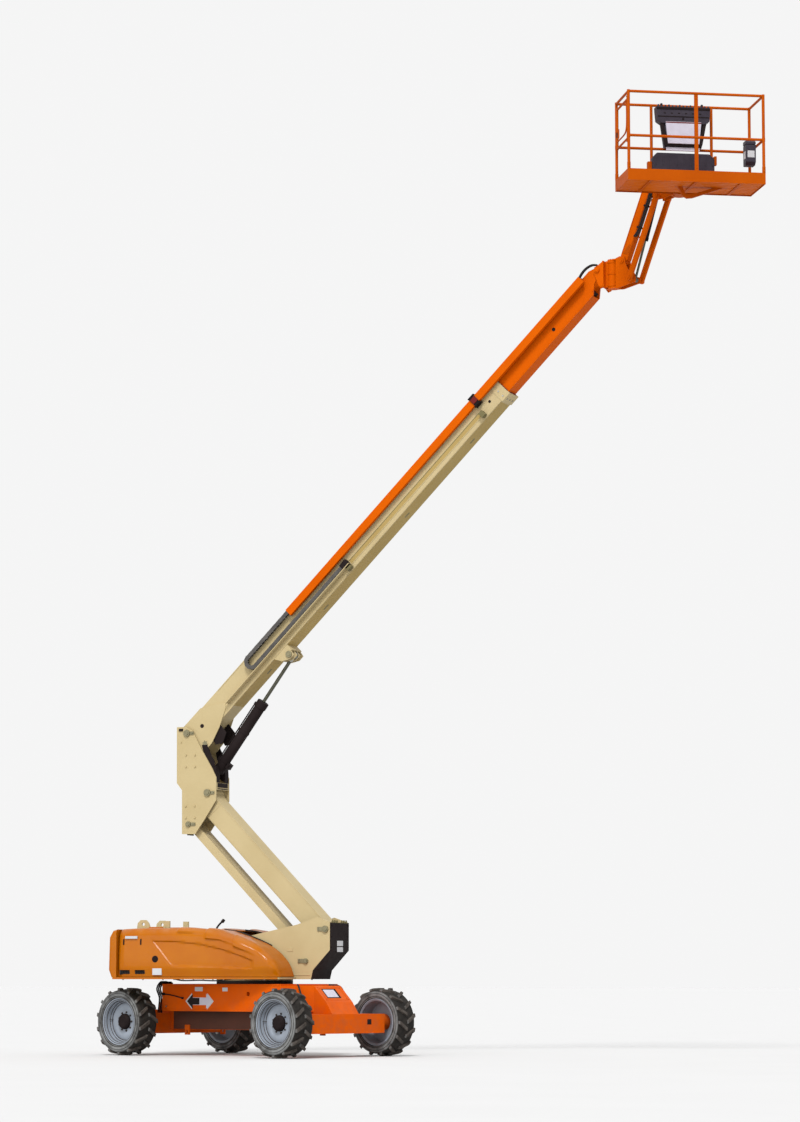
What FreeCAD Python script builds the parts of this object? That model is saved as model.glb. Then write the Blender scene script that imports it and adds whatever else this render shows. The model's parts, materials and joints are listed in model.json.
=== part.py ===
"""Articulating boom lift: chassis, turntable, tower boom, upright, telescoping boom, jib and platform."""
import FreeCAD, Part
import math
import os
import re
import Sketcher

V = FreeCAD.Vector

# ---------------------------------------------------------------------------
# Driving dimensions, in millimetres and degrees
# ---------------------------------------------------------------------------
SIZES = {
    # the swing axis, measured from the middle of the machine's footprint
    "axis_x": -2654.63,
    "axis_y": 0.0,
    # chassis, turned about the swing axis below the turntable
    "slew": -20.5,
    "wheel_base_half": 1475.0,
    "track_half": 985.0,
    "tyre_radius": 457.0,
    "tyre_width": 340.0,
    "tyre_faces": 28,
    "tread_depth": 32.0,
    "lug_width": 46.0,
    "lug_slant": 46.0,
    "tread_set": 14.0,
    "rim_radius": 316.0,
    "rim_flange": 12.0,
    "rim_well_radius": 270.0,
    "rim_half_width": 158.0,
    "bead_seat": 286.0,
    "soft_gap": 0.3,
    "disc_offset": 16.0,
    "disc_thick": 14.0,
    "hub_radius": 105.0,
    "hub_height": 62.0,
    "spindle_radius": 60.0,
    "spindle_end_gap": 2.0,
    "running_gap": 0.05,
    "motor_radius": 112.0,
    "box_half_width": 550.0,
    "box_rear_set": 235.0,
    "box_front_set": 445.0,
    "box_bottom": 600.0,
    "box_top": 966.0,
    "box_plate": 12.0,
    "taper_set": 115.0,
    "nose_half_width": 255.0,
    "nose_top": 944.0,
    "nose_knee_reach": 108.0,
    "nose_knee_z": 731.0,
    "belly_half_width": 330.0,
    "belly_bottom": 350.0,
    "lash_set": 285.0,
    "lash_half": 45.0,
    "lash_drop": 75.0,
    "lash_thick": 20.0,
    "lash_bore": 20.0,
    "axle_back": 175.0,
    "axle_reach": 225.0,
    "axle_bottom": 315.0,
    "axle_top": 570.0,
    "axle_half_width": 760.0,
    "steer_beam_half": 600.0,
    "steer_beam_reach": 165.0,
    "kingpin_half": 745.0,
    "kingpin_radius": 25.0,
    "yoke_radius": 55.0,
    "yoke_thick": 45.0,
    "knuckle_half_height": 112.0,
    "knuckle_radius": 58.0,
    "steer_gap": 6.0,
    "steer_arm_reach": 235.0,
    "steer_pin_radius": 12.0,
    "steer_rod_radius": 18.0,
    "steer_barrel_radius": 38.0,
    "steer_barrel_half": 210.0,
    # swing bearing
    "bearing_radius": 520.0,
    "bearing_bore": 430.0,
    "bearing_height": 44.0,
    "bearing_gap": 0.3,
    # turntable
    "deck_z": 1030.0,
    "deck_thick": 25.0,
    "cheek_inner": 285.0,
    "cheek_thick": 25.0,
    "cheek_back": -1640.0,
    "cheek_low_top": 1600.0,
    "tower_pin_x": 1174.0,
    "tower_pin_z": 1700.0,
    "link_pin_dx": -284.0,
    "link_pin_dz": -426.0,
    "tower_pin_radius": 40.0,
    "link_pin_radius": 30.0,
    "cover_thick": 16.0,
    "hood_half_width": 880.0,
    "hood_inner": 330.0,
    "hood_skin": 14.0,
    "hood_bottom": 1062.0,
    "hood_rear": -1660.0,
    "hood_front_set": 440.0,
    "hood_top": 1722.0,
    "hood_round": 110.0,
    "hood_recess": 20.0,
    "hood_hinge_set": 6.0,
    "hood_hinge_rise": 8.0,
    "hood_hinge_radius": 11.0,
    "hood_pin_radius": 6.0,
    "eye_bore": 22.0,
    "weight_rear": -1790.0,
    "weight_round": 45.0,
    # tower boom and tension link
    "tower_length": 2592.0,
    "tower_angle": 133.95,
    "tower_half_width": 165.0,
    "tower_depth": 265.0,
    "tower_top_set": 20.0,
    "tower_wall": 8.0,
    "boss_radius": 60.0,
    "pin_side_gap": 5.0,
    "link_half_width": 130.0,
    "link_half_depth": 58.0,
    # upright
    "upright_outer": 220.0,
    "upright_plate": 20.0,
    "boom_pivot_dx": -316.0,
    "boom_pivot_dz": 822.0,
    "lift_base_dx": 72.0,
    "lift_base_dz": 320.0,
    "boom_pin_radius": 38.0,
    # main boom, in its own frame with x along the boom from the pivot
    "boom_angle": 45.4,
    "base_start": 330.0,
    "base_end": 6450.0,
    "base_half_width": 170.0,
    "base_low": -225.0,
    "base_high": 100.0,
    "base_wall": 10.0,
    "pivot_plate": 16.0,
    "lug_pin_x": 1802.0,
    "lug_pin_z": -338.0,
    "lift_pin_radius": 30.0,
    "barrel_radius": 75.0,
    "rod_radius": 24.0,
    "fly_rear": 2050.0,
    "fly_reach": 1750.0,
    "fly_half_width": 138.0,
    "fly_low": -196.0,
    "fly_high": 76.0,
    "fly_wall": 9.0,
    "pad_gap": 1.0,
    "collar_length": 110.0,
    "tube_start": 2214.0,
    "tube_width": 62.0,
    "tube_low": -8.0,
    "tube_high": 96.0,
    "tube_gap": 15.0,
    "guide_set": 400.0,
    "guide_length": 90.0,
    "tip_pin_reach": 293.0,
    "tip_pin_z": -10.0,
    "barrel_length": 1135.0,
    "track_turn_x": 1368.0,
    "track_fixed_x": 3210.0,
    "track_inner": 50.0,
    "track_outer": 112.0,
    # levelled tip and jib, with x and z from the tip pin
    "swing_dx": 170.48,
    "jib_turn": -15.0,
    "actuator_radius": 78.0,
    "actuator_low": -223.36,
    "actuator_high": 131.64,
    "jib_pin_x": 190.0,
    "jib_pin_z": 106.64,
    "jib_link_dx": 164.0,
    "jib_link_dz": -265.0,
    "jib_length": 1147.0,
    "jib_angle": 67.55,
    "jib_beam_half_width": 50.0,
    "jib_beam_half_depth": 60.0,
    "jib_link_half_gap": 145.0,
    "jib_link_thick": 40.0,
    "jib_link_half_depth": 34.0,
    "jib_pin_radius": 20.0,
    "jib_lug_x": 1000.0,
    "jib_lug_drop": 150.0,
    "jib_barrel_radius": 36.0,
    "jib_rod_radius": 16.0,
    "jib_barrel_length": 650.0,
    # platform, with its rotator placed from the jib's head pin
    "rotator_dx": 431.98,
    "rotator_radius": 85.0,
    "platform_turn": 31.0,
    "platform_dz": -305.07,
    "platform_half_length": 915.0,
    "platform_inner": 220.0,
    "platform_depth": 760.0,
    "rail_height": 1190.0,
    "mid_rail_height": 590.0,
    "rail_radius": 18.0,
    "end_rail_radius": 17.0,
    "post_radius": 19.5,
    "toe_height": 150.0,
    "gate_inset": 55.0,
    "gate_low_drop": 30.0,
    "gate_high_drop": 110.0,
    "gate_overrun": 2.0,
    "gate_pin_reach": 50.0,
}

doc = FreeCAD.newDocument("BoomLift")
sheet = doc.addObject("Spreadsheet::Sheet", "Sizes")
for row, (alias, value) in enumerate(SIZES.items(), start=1):
    sheet.set(f"A{row}", alias.replace("_", " "))
    sheet.set(f"B{row}", str(value))
    sheet.setAlias(f"B{row}", alias)
doc.recompute()

WORD = re.compile(r"[a-z][a-z_0-9]*")


def formula(text):
    """Return text with every size word pointed at its cell."""
    return WORD.sub(
        lambda found: "Sizes." + found.group() if found.group() in SIZES else found.group(), str(text)
    )


def bind(thing, prop, text):
    """Bind one property of thing to a formula of sizes."""
    thing.setExpression(prop, formula(text))


def number(text):
    """Return the present value of a formula of sizes."""
    value = sheet.evalExpression(formula(text))
    return float(getattr(value, "Value", value))


def place(thing, x, y, z, axis=None, angle=None):
    """Bind where thing stands and, with an axis, how far it is turned about it."""
    if axis is not None:
        thing.Placement = FreeCAD.Placement(V(0, 0, 0), FreeCAD.Rotation(V(*axis), number(angle)))
        bind(thing, "Placement.Rotation.Angle", angle)
    bind(thing, "Placement.Base.x", x)
    bind(thing, "Placement.Base.y", y)
    bind(thing, "Placement.Base.z", z)
    return thing


def box(x_low, x_high, y_low, y_high, z_low, z_high):
    """Block between pairs of limits along x, y and z."""
    block = doc.addObject("Part::Box", "Block")
    bind(block, "Length", f"({x_high}) - ({x_low})")
    bind(block, "Width", f"({y_high}) - ({y_low})")
    bind(block, "Height", f"({z_high}) - ({z_low})")
    return place(block, x_low, y_low, z_low)


TURNS = {
    "x": FreeCAD.Rotation(V(0, 1, 0), 90),
    "y": FreeCAD.Rotation(V(1, 0, 0), -90),
    "z": FreeCAD.Rotation(),
}


def bar(axis, start, end, across, radius):
    """Round bar along an axis from start to end; across holds its two other coordinates in order."""
    rod = doc.addObject("Part::Cylinder", "Bar")
    bind(rod, "Radius", radius)
    bind(rod, "Height", f"({end}) - ({start})")
    rod.Placement = FreeCAD.Placement(V(0, 0, 0), TURNS[axis])
    base = list(across)
    base.insert("xyz".index(axis), start)
    for name, text in zip("xyz", base):
        bind(rod, f"Placement.Base.{name}", text)
    return rod


def outline(body, role, points):
    """Closed sketch through points on one of the body's origin planes."""
    sketch = body.newObject("Sketcher::SketchObject", "Outline")
    plane = [item for item in body.Origin.OriginFeatures if item.Role == role][0]
    sketch.AttachmentSupport = [(plane, "")]
    sketch.MapMode = "FlatFace"
    spots = [V(number(across), number(up), 0) for across, up in points]
    count = len(spots)
    for index in range(count):
        sketch.addGeometry(Part.LineSegment(spots[index], spots[(index + 1) % count]), False)
    for index in range(count):
        sketch.addConstraint(Sketcher.Constraint("Coincident", index, 2, (index + 1) % count, 1))
    for index, spot in enumerate(spots):
        for kind, value, text in zip(("DistanceX", "DistanceY"), (spot.x, spot.y), points[index]):
            constraint = sketch.addConstraint(Sketcher.Constraint(kind, -1, 1, index, 1, value))
            bind(sketch, f"Constraints[{constraint}]", text)
    return sketch


def side_plate(points, y_low, y_high):
    """Plate with its outline in x and z, from y_low to y_high."""
    body = doc.addObject("PartDesign::Body", "Plate")
    sketch = outline(body, "XZ_Plane", points)
    pad = body.newObject("PartDesign::Pad", "Pad")
    pad.Profile = sketch
    pad.SideType = "Symmetric"
    bind(pad, "Length", f"({y_high}) - ({y_low})")
    body.Tip = pad
    return place(body, "0", f"(({y_high}) + ({y_low})) / 2", "0")


def floor_plate(points, z_low, z_high):
    """Plate with its outline in x and y, from z_low to z_high."""
    body = doc.addObject("PartDesign::Body", "Plate")
    sketch = outline(body, "XY_Plane", points)
    pad = body.newObject("PartDesign::Pad", "Pad")
    pad.Profile = sketch
    bind(pad, "Length", f"({z_high}) - ({z_low})")
    body.Tip = pad
    return place(body, "0", "0", z_low)


def turned_ring(points):
    """Solid turned about the y axis from an outline of radius and y."""
    body = doc.addObject("PartDesign::Body", "Turned")
    sketch = outline(body, "XY_Plane", points)
    turn = body.newObject("PartDesign::Revolution", "Turn")
    turn.Profile = sketch
    turn.ReferenceAxis = (sketch, ["V_Axis"])
    turn.Angle = 360
    body.Tip = turn
    return body


def fuse(*pieces):
    """One shape from pieces that meet."""
    if len(pieces) == 1:
        return pieces[0]
    joined = doc.addObject("Part::MultiFuse", "Joined")
    joined.Shapes = list(pieces)
    return joined


def cut(base, *tools):
    """Base without the space that the tools take."""
    left = doc.addObject("Part::Cut", "Trimmed")
    left.Base = base
    left.Tool = fuse(*tools)
    return left


def group(*pieces):
    """Pieces kept as they are, side by side."""
    together = doc.addObject("Part::Compound", "Together")
    together.Links = list(pieces)
    return together


def mirrored(piece):
    """The same piece on the other side of the plane y = 0."""
    other = doc.addObject("Part::Mirroring", "Mirrored")
    other.Source = piece
    other.Base = V(0, 0, 0)
    other.Normal = V(0, 1, 0)
    return other


TOWER_TOP_X = "(tower_pin_x + tower_length * cos(tower_angle))"
TOWER_TOP_Z = "(tower_pin_z + tower_length * sin(tower_angle))"
PIVOT_X = f"({TOWER_TOP_X} + boom_pivot_dx)"
PIVOT_Z = f"({TOWER_TOP_Z} + boom_pivot_dz)"
FLY_FRONT = "(base_end + fly_reach)"
TIP_PIN_X = f"({FLY_FRONT} + tip_pin_reach)"
SWING_X = f"({PIVOT_X} + {TIP_PIN_X} * cos(boom_angle) - tip_pin_z * sin(boom_angle) + swing_dx)"
TIP_Z = f"({PIVOT_Z} + {TIP_PIN_X} * sin(boom_angle) + tip_pin_z * cos(boom_angle))"
HEAD_X = "(jib_pin_x + jib_length * cos(jib_angle))"
HEAD_Z = "(jib_pin_z + jib_length * sin(jib_angle))"
ROTATOR_X = f"({HEAD_X} + rotator_dx)"
PLATFORM_Z = f"({HEAD_Z} + platform_dz)"
UP_Z = (0, 0, 1)
UP_TILT = (0, -1, 0)
FRAMES = {
    "machine": ("axis_x", "axis_y", "0", None, None),
    "chassis": ("axis_x", "axis_y", "0", UP_Z, "slew"),
    "tower": ("axis_x + tower_pin_x", "axis_y", "tower_pin_z", UP_TILT, "tower_angle"),
    "link": (
        "axis_x + tower_pin_x + link_pin_dx",
        "axis_y",
        "tower_pin_z + link_pin_dz",
        UP_TILT,
        "tower_angle",
    ),
    "upright": (f"axis_x + {TOWER_TOP_X}", "axis_y", TOWER_TOP_Z, None, None),
    "boom": (f"axis_x + {PIVOT_X}", "axis_y", PIVOT_Z, UP_TILT, "boom_angle"),
    "tip": (f"axis_x + {SWING_X}", "axis_y", TIP_Z, None, None),
    "jib": (f"axis_x + {SWING_X}", "axis_y", TIP_Z, UP_Z, "jib_turn"),
    "platform": (
        f"axis_x + {SWING_X} + {ROTATOR_X} * cos(jib_turn)",
        f"axis_y + {ROTATOR_X} * sin(jib_turn)",
        f"{TIP_Z} + {PLATFORM_Z}",
        UP_Z,
        "platform_turn",
    ),
}
NODES = {}


def node(name, frame, *pieces):
    """Name a sub-part made of pieces and stand it in its frame."""
    whole = group(*pieces)
    whole.Label = name
    place(whole, *FRAMES[frame])
    NODES[name] = whole
    return whole


# ---------------------------------------------------------------------------
# Wheels
# ---------------------------------------------------------------------------
CORNERS = {
    "front_left": ("wheel_base_half", "track_half"),
    "front_right": ("wheel_base_half", "-track_half"),
    "rear_left": ("-wheel_base_half", "track_half"),
    "rear_right": ("-wheel_base_half", "-track_half"),
}
TYRE_HALF = "(tyre_width / 2)"
BEAD = "(bead_seat + soft_gap)"
CARCASS = "(tyre_radius - tread_depth)"
SEAT_HALF = "(rim_half_width - rim_flange - soft_gap)"
FACE_ANGLE = "(360 / tyre_faces)"
RIM = [
    ("rim_well_radius", "-rim_half_width"),
    ("rim_radius", "-rim_half_width"),
    ("rim_radius", "rim_flange - rim_half_width"),
    ("bead_seat", "rim_flange - rim_half_width"),
    ("bead_seat", "rim_half_width - rim_flange"),
    ("rim_radius", "rim_half_width - rim_flange"),
    ("rim_radius", "rim_half_width"),
    ("rim_well_radius + 8", "rim_half_width"),
    ("rim_well_radius + 8", "rim_half_width - 44"),
    ("rim_well_radius", "rim_half_width - 52"),
    ("rim_well_radius", "disc_offset + disc_thick"),
    ("hub_radius", "disc_offset + disc_thick"),
    ("hub_radius", "disc_offset + disc_thick + hub_height"),
    ("0", "disc_offset + disc_thick + hub_height"),
    ("0", "disc_offset + disc_thick + spindle_end_gap"),
    ("spindle_radius + running_gap", "disc_offset + disc_thick + spindle_end_gap"),
    ("spindle_radius + running_gap", "disc_offset"),
    ("rim_well_radius", "disc_offset"),
]


def facet_drum(radius, y_low, y_high):
    """Regular drum about the y axis with one flat side straight down; radius is to its flats."""
    drum = doc.addObject("Part::Prism", "Drum")
    bind(drum, "Polygon", "tyre_faces")
    bind(drum, "Circumradius", f"({radius}) / cos({FACE_ANGLE} / 2)")
    bind(drum, "Height", f"({y_high}) - ({y_low})")
    flat_down = FreeCAD.Rotation(V(0, 1, 0), number(f"{FACE_ANGLE} / 2"))
    drum.Placement = FreeCAD.Placement(V(0, 0, 0), flat_down.multiply(TURNS["y"]))
    bind(drum, "Placement.Base.y", y_low)
    return drum


def shared(base, tool):
    """The space that both base and tool take."""
    both = doc.addObject("Part::Common", "Shared")
    both.Base = base
    both.Tool = tool
    return both


def bevelled_carcass():
    """Drum of flat faces whose side walls lean in towards the tread."""
    quarter = [(CARCASS, f"({TYRE_HALF} - tread_set)"), ("(rim_radius + 62)", TYRE_HALF)]
    right = [(radius, f"-{across}") for radius, across in quarter[::-1]] + quarter
    left = [(f"-{radius}", across) for radius, across in quarter[::-1]]
    left += [(f"-{radius}", f"-{across}") for radius, across in quarter]
    slab = floor_plate(right + left, "-tyre_radius * 1.2", "tyre_radius * 1.2")
    carcass = place(group(slab), "0", "0", "0", (0, 1, 0), "90")
    for index in range(1, int(number("tyre_faces / 2"))):
        turned = place(group(slab), "0", "0", "0", (0, 1, 0), f"90 + {FACE_ANGLE} * {index}")
        carcass = shared(carcass, turned)
    return carcass


def tread_lug(side):
    """One slanted lug on the underside of the tyre; side is 1 or -1 along y."""
    sign = "" if side > 0 else "-"
    inner = f"({sign}6)"
    outer = f"({sign}({TYRE_HALF} - tread_set - 2))"
    half = "(lug_width / 2)"
    points = [
        (f"-{half} - lug_slant", inner),
        (f"{half} - lug_slant", inner),
        (f"{half} + lug_slant", outer),
        (f"lug_slant - {half}", outer),
    ]
    return floor_plate(points, "-tyre_radius - 20", f"10 - {CARCASS}")


def lugged_tyre():
    """Tyre carcass with a hole for the rim and two rows of slanted lugs."""
    past = f"({TYRE_HALF} + 5)"
    hole = facet_drum(BEAD, f"-{past}", past)
    flange_room = facet_drum("rim_radius + 3", SEAT_HALF, past)
    lugs = []
    for side in (1, -1):
        lug = tread_lug(side)
        for index in range(int(number("tyre_faces / 2"))):
            turn = f"{FACE_ANGLE} * {2 * index + (side < 0) + 0.5}"
            lugs.append(place(group(lug), "0", "0", "0", (0, 1, 0), turn))
    tread = shared(fuse(*lugs), facet_drum("tyre_radius", f"-{TYRE_HALF}", TYRE_HALF))
    return cut(fuse(bevelled_carcass(), tread), hole, flange_room, mirrored(flange_room))


def on_corner(piece, corner):
    """Carry a piece made about the wheel's middle to one corner, outer face outward."""
    across, side = CORNERS[corner]
    seated = group(piece)
    turn = "180" if side.startswith("-") else "0"
    return place(seated, across, side, "tyre_radius", UP_Z, turn)


tyre = lugged_tyre()
rim = turned_ring(RIM)
for corner in CORNERS:
    node(f"tyre_{corner}", "chassis", on_corner(tyre, corner))
    node(f"rim_{corner}", "chassis", on_corner(rim, corner))

# ---------------------------------------------------------------------------
# Chassis
# ---------------------------------------------------------------------------
AXLE_INNER = "(wheel_base_half - axle_back)"
AXLE_OUTER = "(wheel_base_half + axle_reach)"
STEER_BACK = "(wheel_base_half + steer_beam_reach)"
BOX_REAR = "(wheel_base_half - box_rear_set)"
BOX_FRONT = "(wheel_base_half - box_front_set)"
TAPER_END = "(wheel_base_half - taper_set)"
NOSE_KNEE = "(wheel_base_half + nose_knee_reach)"
main_box = box(f"-{BOX_REAR}", f"{BOX_FRONT}", "-box_half_width", "box_half_width", "box_bottom", "box_top")
taper = floor_plate(
    [
        (f"{BOX_FRONT}", "-box_half_width"),
        (f"{TAPER_END}", "-nose_half_width"),
        (f"{TAPER_END}", "nose_half_width"),
        (f"{BOX_FRONT}", "box_half_width"),
    ],
    "box_bottom",
    "nose_top",
)
nose = side_plate(
    [
        (f"{BOX_FRONT} - box_plate", "axle_top"),
        (f"{BOX_FRONT} - box_plate", "nose_top"),
        (f"{TAPER_END}", "nose_top"),
        (f"{NOSE_KNEE}", "nose_knee_z"),
        (f"{AXLE_OUTER}", "axle_top"),
    ],
    "-nose_half_width",
    "nose_half_width",
)
tail = side_plate(
    [
        (f"box_plate - {BOX_REAR}", "axle_top"),
        (f"box_plate - {BOX_REAR}", "nose_top"),
        (f"-{TAPER_END}", "nose_top"),
        (f"-{NOSE_KNEE}", "nose_knee_z"),
        (f"-{STEER_BACK}", "axle_top"),
    ],
    "-nose_half_width",
    "nose_half_width",
)
belly = box(
    f"-{AXLE_INNER}", f"{AXLE_INNER}", "-belly_half_width", "belly_half_width", "belly_bottom", "box_bottom"
)
LASH_X = f"({BOX_REAR} - lash_set)"
lash_lugs = []
for end_x in (LASH_X, f"(-{LASH_X})"):
    low_x, high_x = (f"{end_x} - lash_half", f"{end_x} + lash_half")
    for side in ("-", ""):
        face = f"({side}belly_half_width)"
        inner, outer = (f"{face} - lash_thick", face) if side else (face, f"{face} + lash_thick")
        lug = box(low_x, high_x, inner, outer, "belly_bottom - lash_drop", "belly_bottom + 60")
        hole = bar(
            "y", f"{inner} - 5", f"{outer} + 5", (end_x, "belly_bottom - lash_drop / 2 + 5"), "lash_bore"
        )
        lash_lugs.append(cut(lug, hole))
side_hole = bar("y", "-box_half_width - 1", "60 - box_half_width", ("420", "834"), "30")
frame_solid = fuse(main_box, taper, nose, tail, belly, *lash_lugs)
node("chassis_frame", "chassis", cut(frame_solid, side_hole, mirrored(side_hole)))

MOTOR_END = "(track_half + disc_offset - spindle_end_gap)"
SPINDLE_END = "(track_half + disc_offset + disc_thick)"
front_beam = box(
    f"{AXLE_INNER}", f"{AXLE_OUTER}", "-axle_half_width", "axle_half_width", "axle_bottom", "axle_top"
)
front_motor = bar("y", f"-{MOTOR_END}", MOTOR_END, ("wheel_base_half", "tyre_radius"), "motor_radius")
front_spindle = bar(
    "y", f"-{SPINDLE_END}", SPINDLE_END, ("wheel_base_half", "tyre_radius"), "spindle_radius"
)
node("axle_front", "chassis", fuse(front_beam, front_motor, front_spindle))

YOKE_LOW = "(tyre_radius - knuckle_half_height - steer_gap)"
YOKE_HIGH = "(tyre_radius + knuckle_half_height + steer_gap)"
steer_beam = box(
    f"-{STEER_BACK}",
    f"-{AXLE_INNER}",
    "-steer_beam_half",
    "steer_beam_half",
    f"{YOKE_LOW} - yoke_thick",
    "axle_top",
)
yokes = []
for side in ("-", ""):
    reach = f"({side}kingpin_half)"
    inner = f"({side}steer_beam_half)"
    low, high = (reach, inner) if side else (inner, reach)
    for arm_low, arm_high in (
        (f"{YOKE_LOW} - yoke_thick", YOKE_LOW),
        (YOKE_HIGH, f"{YOKE_HIGH} + yoke_thick"),
    ):
        yokes.append(
            box(
                "-wheel_base_half - yoke_radius",
                "yoke_radius - wheel_base_half",
                low,
                high,
                arm_low,
                arm_high,
            ),
        )
        yokes.append(bar("z", arm_low, arm_high, ("-wheel_base_half", reach), "yoke_radius"))
    yokes.append(
        bar(
            "z",
            f"{YOKE_LOW} - yoke_thick",
            f"{YOKE_HIGH} + yoke_thick",
            ("-wheel_base_half", reach),
            "kingpin_radius",
        )
    )
    yokes.append(
        box(
            f"-{STEER_BACK}",
            f"-{AXLE_INNER}",
            f"{inner} - 20",
            f"{inner} + 20",
            f"{YOKE_LOW} - yoke_thick",
            f"{YOKE_HIGH} + yoke_thick",
        )
    )
STEER_ROD_X = "(-wheel_base_half - steer_arm_reach)"
cylinder_mounts = [
    box(
        f"{STEER_ROD_X} - 20",
        f"-{STEER_BACK} + 10",
        f"{side}steer_barrel_half - 15",
        f"{side}steer_barrel_half + 15",
        "tyre_radius - 45",
        "tyre_radius + 45",
    )
    for side in ("-", "")
]
steer_barrel = bar(
    "y", "-steer_barrel_half", "steer_barrel_half", (STEER_ROD_X, "tyre_radius"), "steer_barrel_radius"
)
rod_bore = bar(
    "y",
    "-steer_barrel_half - 60",
    "steer_barrel_half + 60",
    (STEER_ROD_X, "tyre_radius"),
    "steer_rod_radius + running_gap",
)
node("axle_rear", "chassis", cut(fuse(steer_beam, *yokes, *cylinder_mounts, steer_barrel), rod_bore))

ARM_TOP = "(tyre_radius - 30)"
for side_name, side in (("left", 1), ("right", -1)):
    sign = "" if side > 0 else "-"
    reach = f"({sign}kingpin_half)"
    ends = (reach, f"({sign}{MOTOR_END})") if side > 0 else (f"(-{MOTOR_END})", reach)
    tips = (reach, f"({sign}{SPINDLE_END})") if side > 0 else (f"(-{SPINDLE_END})", reach)
    hub = bar(
        "z",
        "tyre_radius - knuckle_half_height",
        "tyre_radius + knuckle_half_height",
        ("-wheel_base_half", reach),
        "knuckle_radius",
    )
    motor = bar("y", ends[0], ends[1], ("-wheel_base_half", "tyre_radius"), "knuckle_half_height - 8")
    spindle = bar("y", tips[0], tips[1], ("-wheel_base_half", "tyre_radius"), "spindle_radius")
    arm = box(
        STEER_ROD_X, "-wheel_base_half", f"{reach} - 24", f"{reach} + 24", f"{ARM_TOP} - 22", ARM_TOP
    )
    arm_end = bar("z", f"{ARM_TOP} - 22", ARM_TOP, (STEER_ROD_X, reach), "24")
    arm_pin = bar("z", ARM_TOP, "tyre_radius + 26", (STEER_ROD_X, reach), "steer_pin_radius")
    bore = bar(
        "z",
        "tyre_radius - knuckle_half_height",
        "tyre_radius + knuckle_half_height",
        ("-wheel_base_half", reach),
        "kingpin_radius + running_gap",
    )
    node(f"knuckle_{side_name}", "chassis", cut(fuse(hub, motor, spindle, arm, arm_end, arm_pin), bore))

rod_shaft = bar(
    "y", "-kingpin_half + 70", "kingpin_half - 70", (STEER_ROD_X, "tyre_radius"), "steer_rod_radius"
)
rod_end = box(
    f"{STEER_ROD_X} - 36",
    f"{STEER_ROD_X} + 62",
    "kingpin_half - 76",
    "kingpin_half + 30",
    "tyre_radius - 18",
    "tyre_radius + 18",
)
slots = [
    box(
        f"{STEER_ROD_X} - 20",
        f"{STEER_ROD_X} + 52",
        f"({sign}kingpin_half) - 20",
        f"({sign}kingpin_half) + 20",
        "tyre_radius - 40",
        "tyre_radius + 40",
    )
    for sign in ("-", "")
]
node("steering_rod", "chassis", cut(fuse(rod_shaft, rod_end, mirrored(rod_end)), *slots))

ring = bar("z", "box_top", "box_top + bearing_height", ("0", "0"), "bearing_radius")
ring_bore = bar("z", "box_top - 1", "box_top + bearing_height + 1", ("0", "0"), "bearing_bore")
node("swing_bearing", "chassis", cut(ring, ring_bore))

# ---------------------------------------------------------------------------
# Turntable
# ---------------------------------------------------------------------------
BEARING_TOP = "(box_top + bearing_height + bearing_gap)"
pedestal = bar("z", BEARING_TOP, "deck_z + 5", ("0", "0"), "bearing_radius")
spigot = bar("z", "box_top + 12", "deck_z + 5", ("0", "0"), "bearing_bore - bearing_gap")
deck = box(
    "weight_rear + 60",
    "tower_pin_x - hood_front_set + 14",
    "15 - hood_half_width",
    "hood_half_width - 15",
    "deck_z",
    "deck_z + deck_thick",
)
deck_nose = box(
    "tower_pin_x - hood_front_set",
    "tower_pin_x - 210",
    "-cheek_inner - 5",
    "cheek_inner + 5",
    "deck_z",
    "deck_z + deck_thick",
)
CHEEK = [
    ("cheek_back", "deck_z"),
    ("tower_pin_x - 210", "deck_z"),
    ("tower_pin_x - 181", "deck_z + 123"),
    ("tower_pin_x + 66", "deck_z + 390"),
    ("tower_pin_x + 66", "tower_pin_z + 93"),
    ("tower_pin_x - 125", "tower_pin_z + 161"),
    ("tower_pin_x - 420", "tower_pin_z + 60"),
    ("0", "cheek_low_top"),
    ("cheek_back", "cheek_low_top"),
]
cheek = side_plate(CHEEK, "cheek_inner", "cheek_inner + cheek_thick")
REST_BACK = "(cheek_back + 10)"
REST_FRONT = "(cheek_back + 190)"
POST_BACK = "(cheek_back + 420)"
REST_TOP = "(cheek_low_top + 235)"
REST = [
    (f"{REST_BACK} - 10", "cheek_low_top - 20"),
    (f"{REST_FRONT} + 70", "cheek_low_top - 20"),
    (f"{REST_FRONT} + 20", "cheek_low_top + 110"),
    (f"{REST_FRONT} - 10", f"{REST_TOP} - 40"),
    (f"{REST_FRONT} - 50", REST_TOP),
    (f"{REST_BACK} + 50", REST_TOP),
    (f"{REST_BACK} + 4", f"{REST_TOP} - 44"),
    (f"{REST_BACK} - 6", "cheek_low_top + 110"),
]
EYE_X = f"(({REST_BACK} + {REST_FRONT}) / 2)"
EYE_Z = f"({REST_TOP} - 58)"
CHEEK_OUTER = "(cheek_inner + cheek_thick)"
rest_plate = side_plate(REST, "cheek_inner", CHEEK_OUTER)
rest_post = box(
    POST_BACK, f"{POST_BACK} + 80", "cheek_inner", CHEEK_OUTER, "cheek_low_top - 20", "cheek_low_top + 220"
)
eye_hole = bar("y", "cheek_inner - 5", f"{CHEEK_OUTER} + 5", (EYE_X, EYE_Z), "eye_bore")
HINGE_Y = "(hood_inner - hood_hinge_set)"
HINGE_Z = "(hood_top + hood_hinge_rise)"
hinge_lugs = [
    box(low, high, "cheek_inner + 5", f"{HINGE_Y} + 4", f"{HINGE_Z} - 18", f"{HINGE_Z} + 12")
    for low, high in (
        (f"{REST_FRONT} - 30", f"{REST_FRONT} - 14"), (f"{POST_BACK} + 8", f"{POST_BACK} + 24")
    )
]
hinge_pin = bar("x", f"{REST_FRONT} - 20", f"{POST_BACK} + 12", (HINGE_Y, HINGE_Z), "hood_pin_radius")
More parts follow.
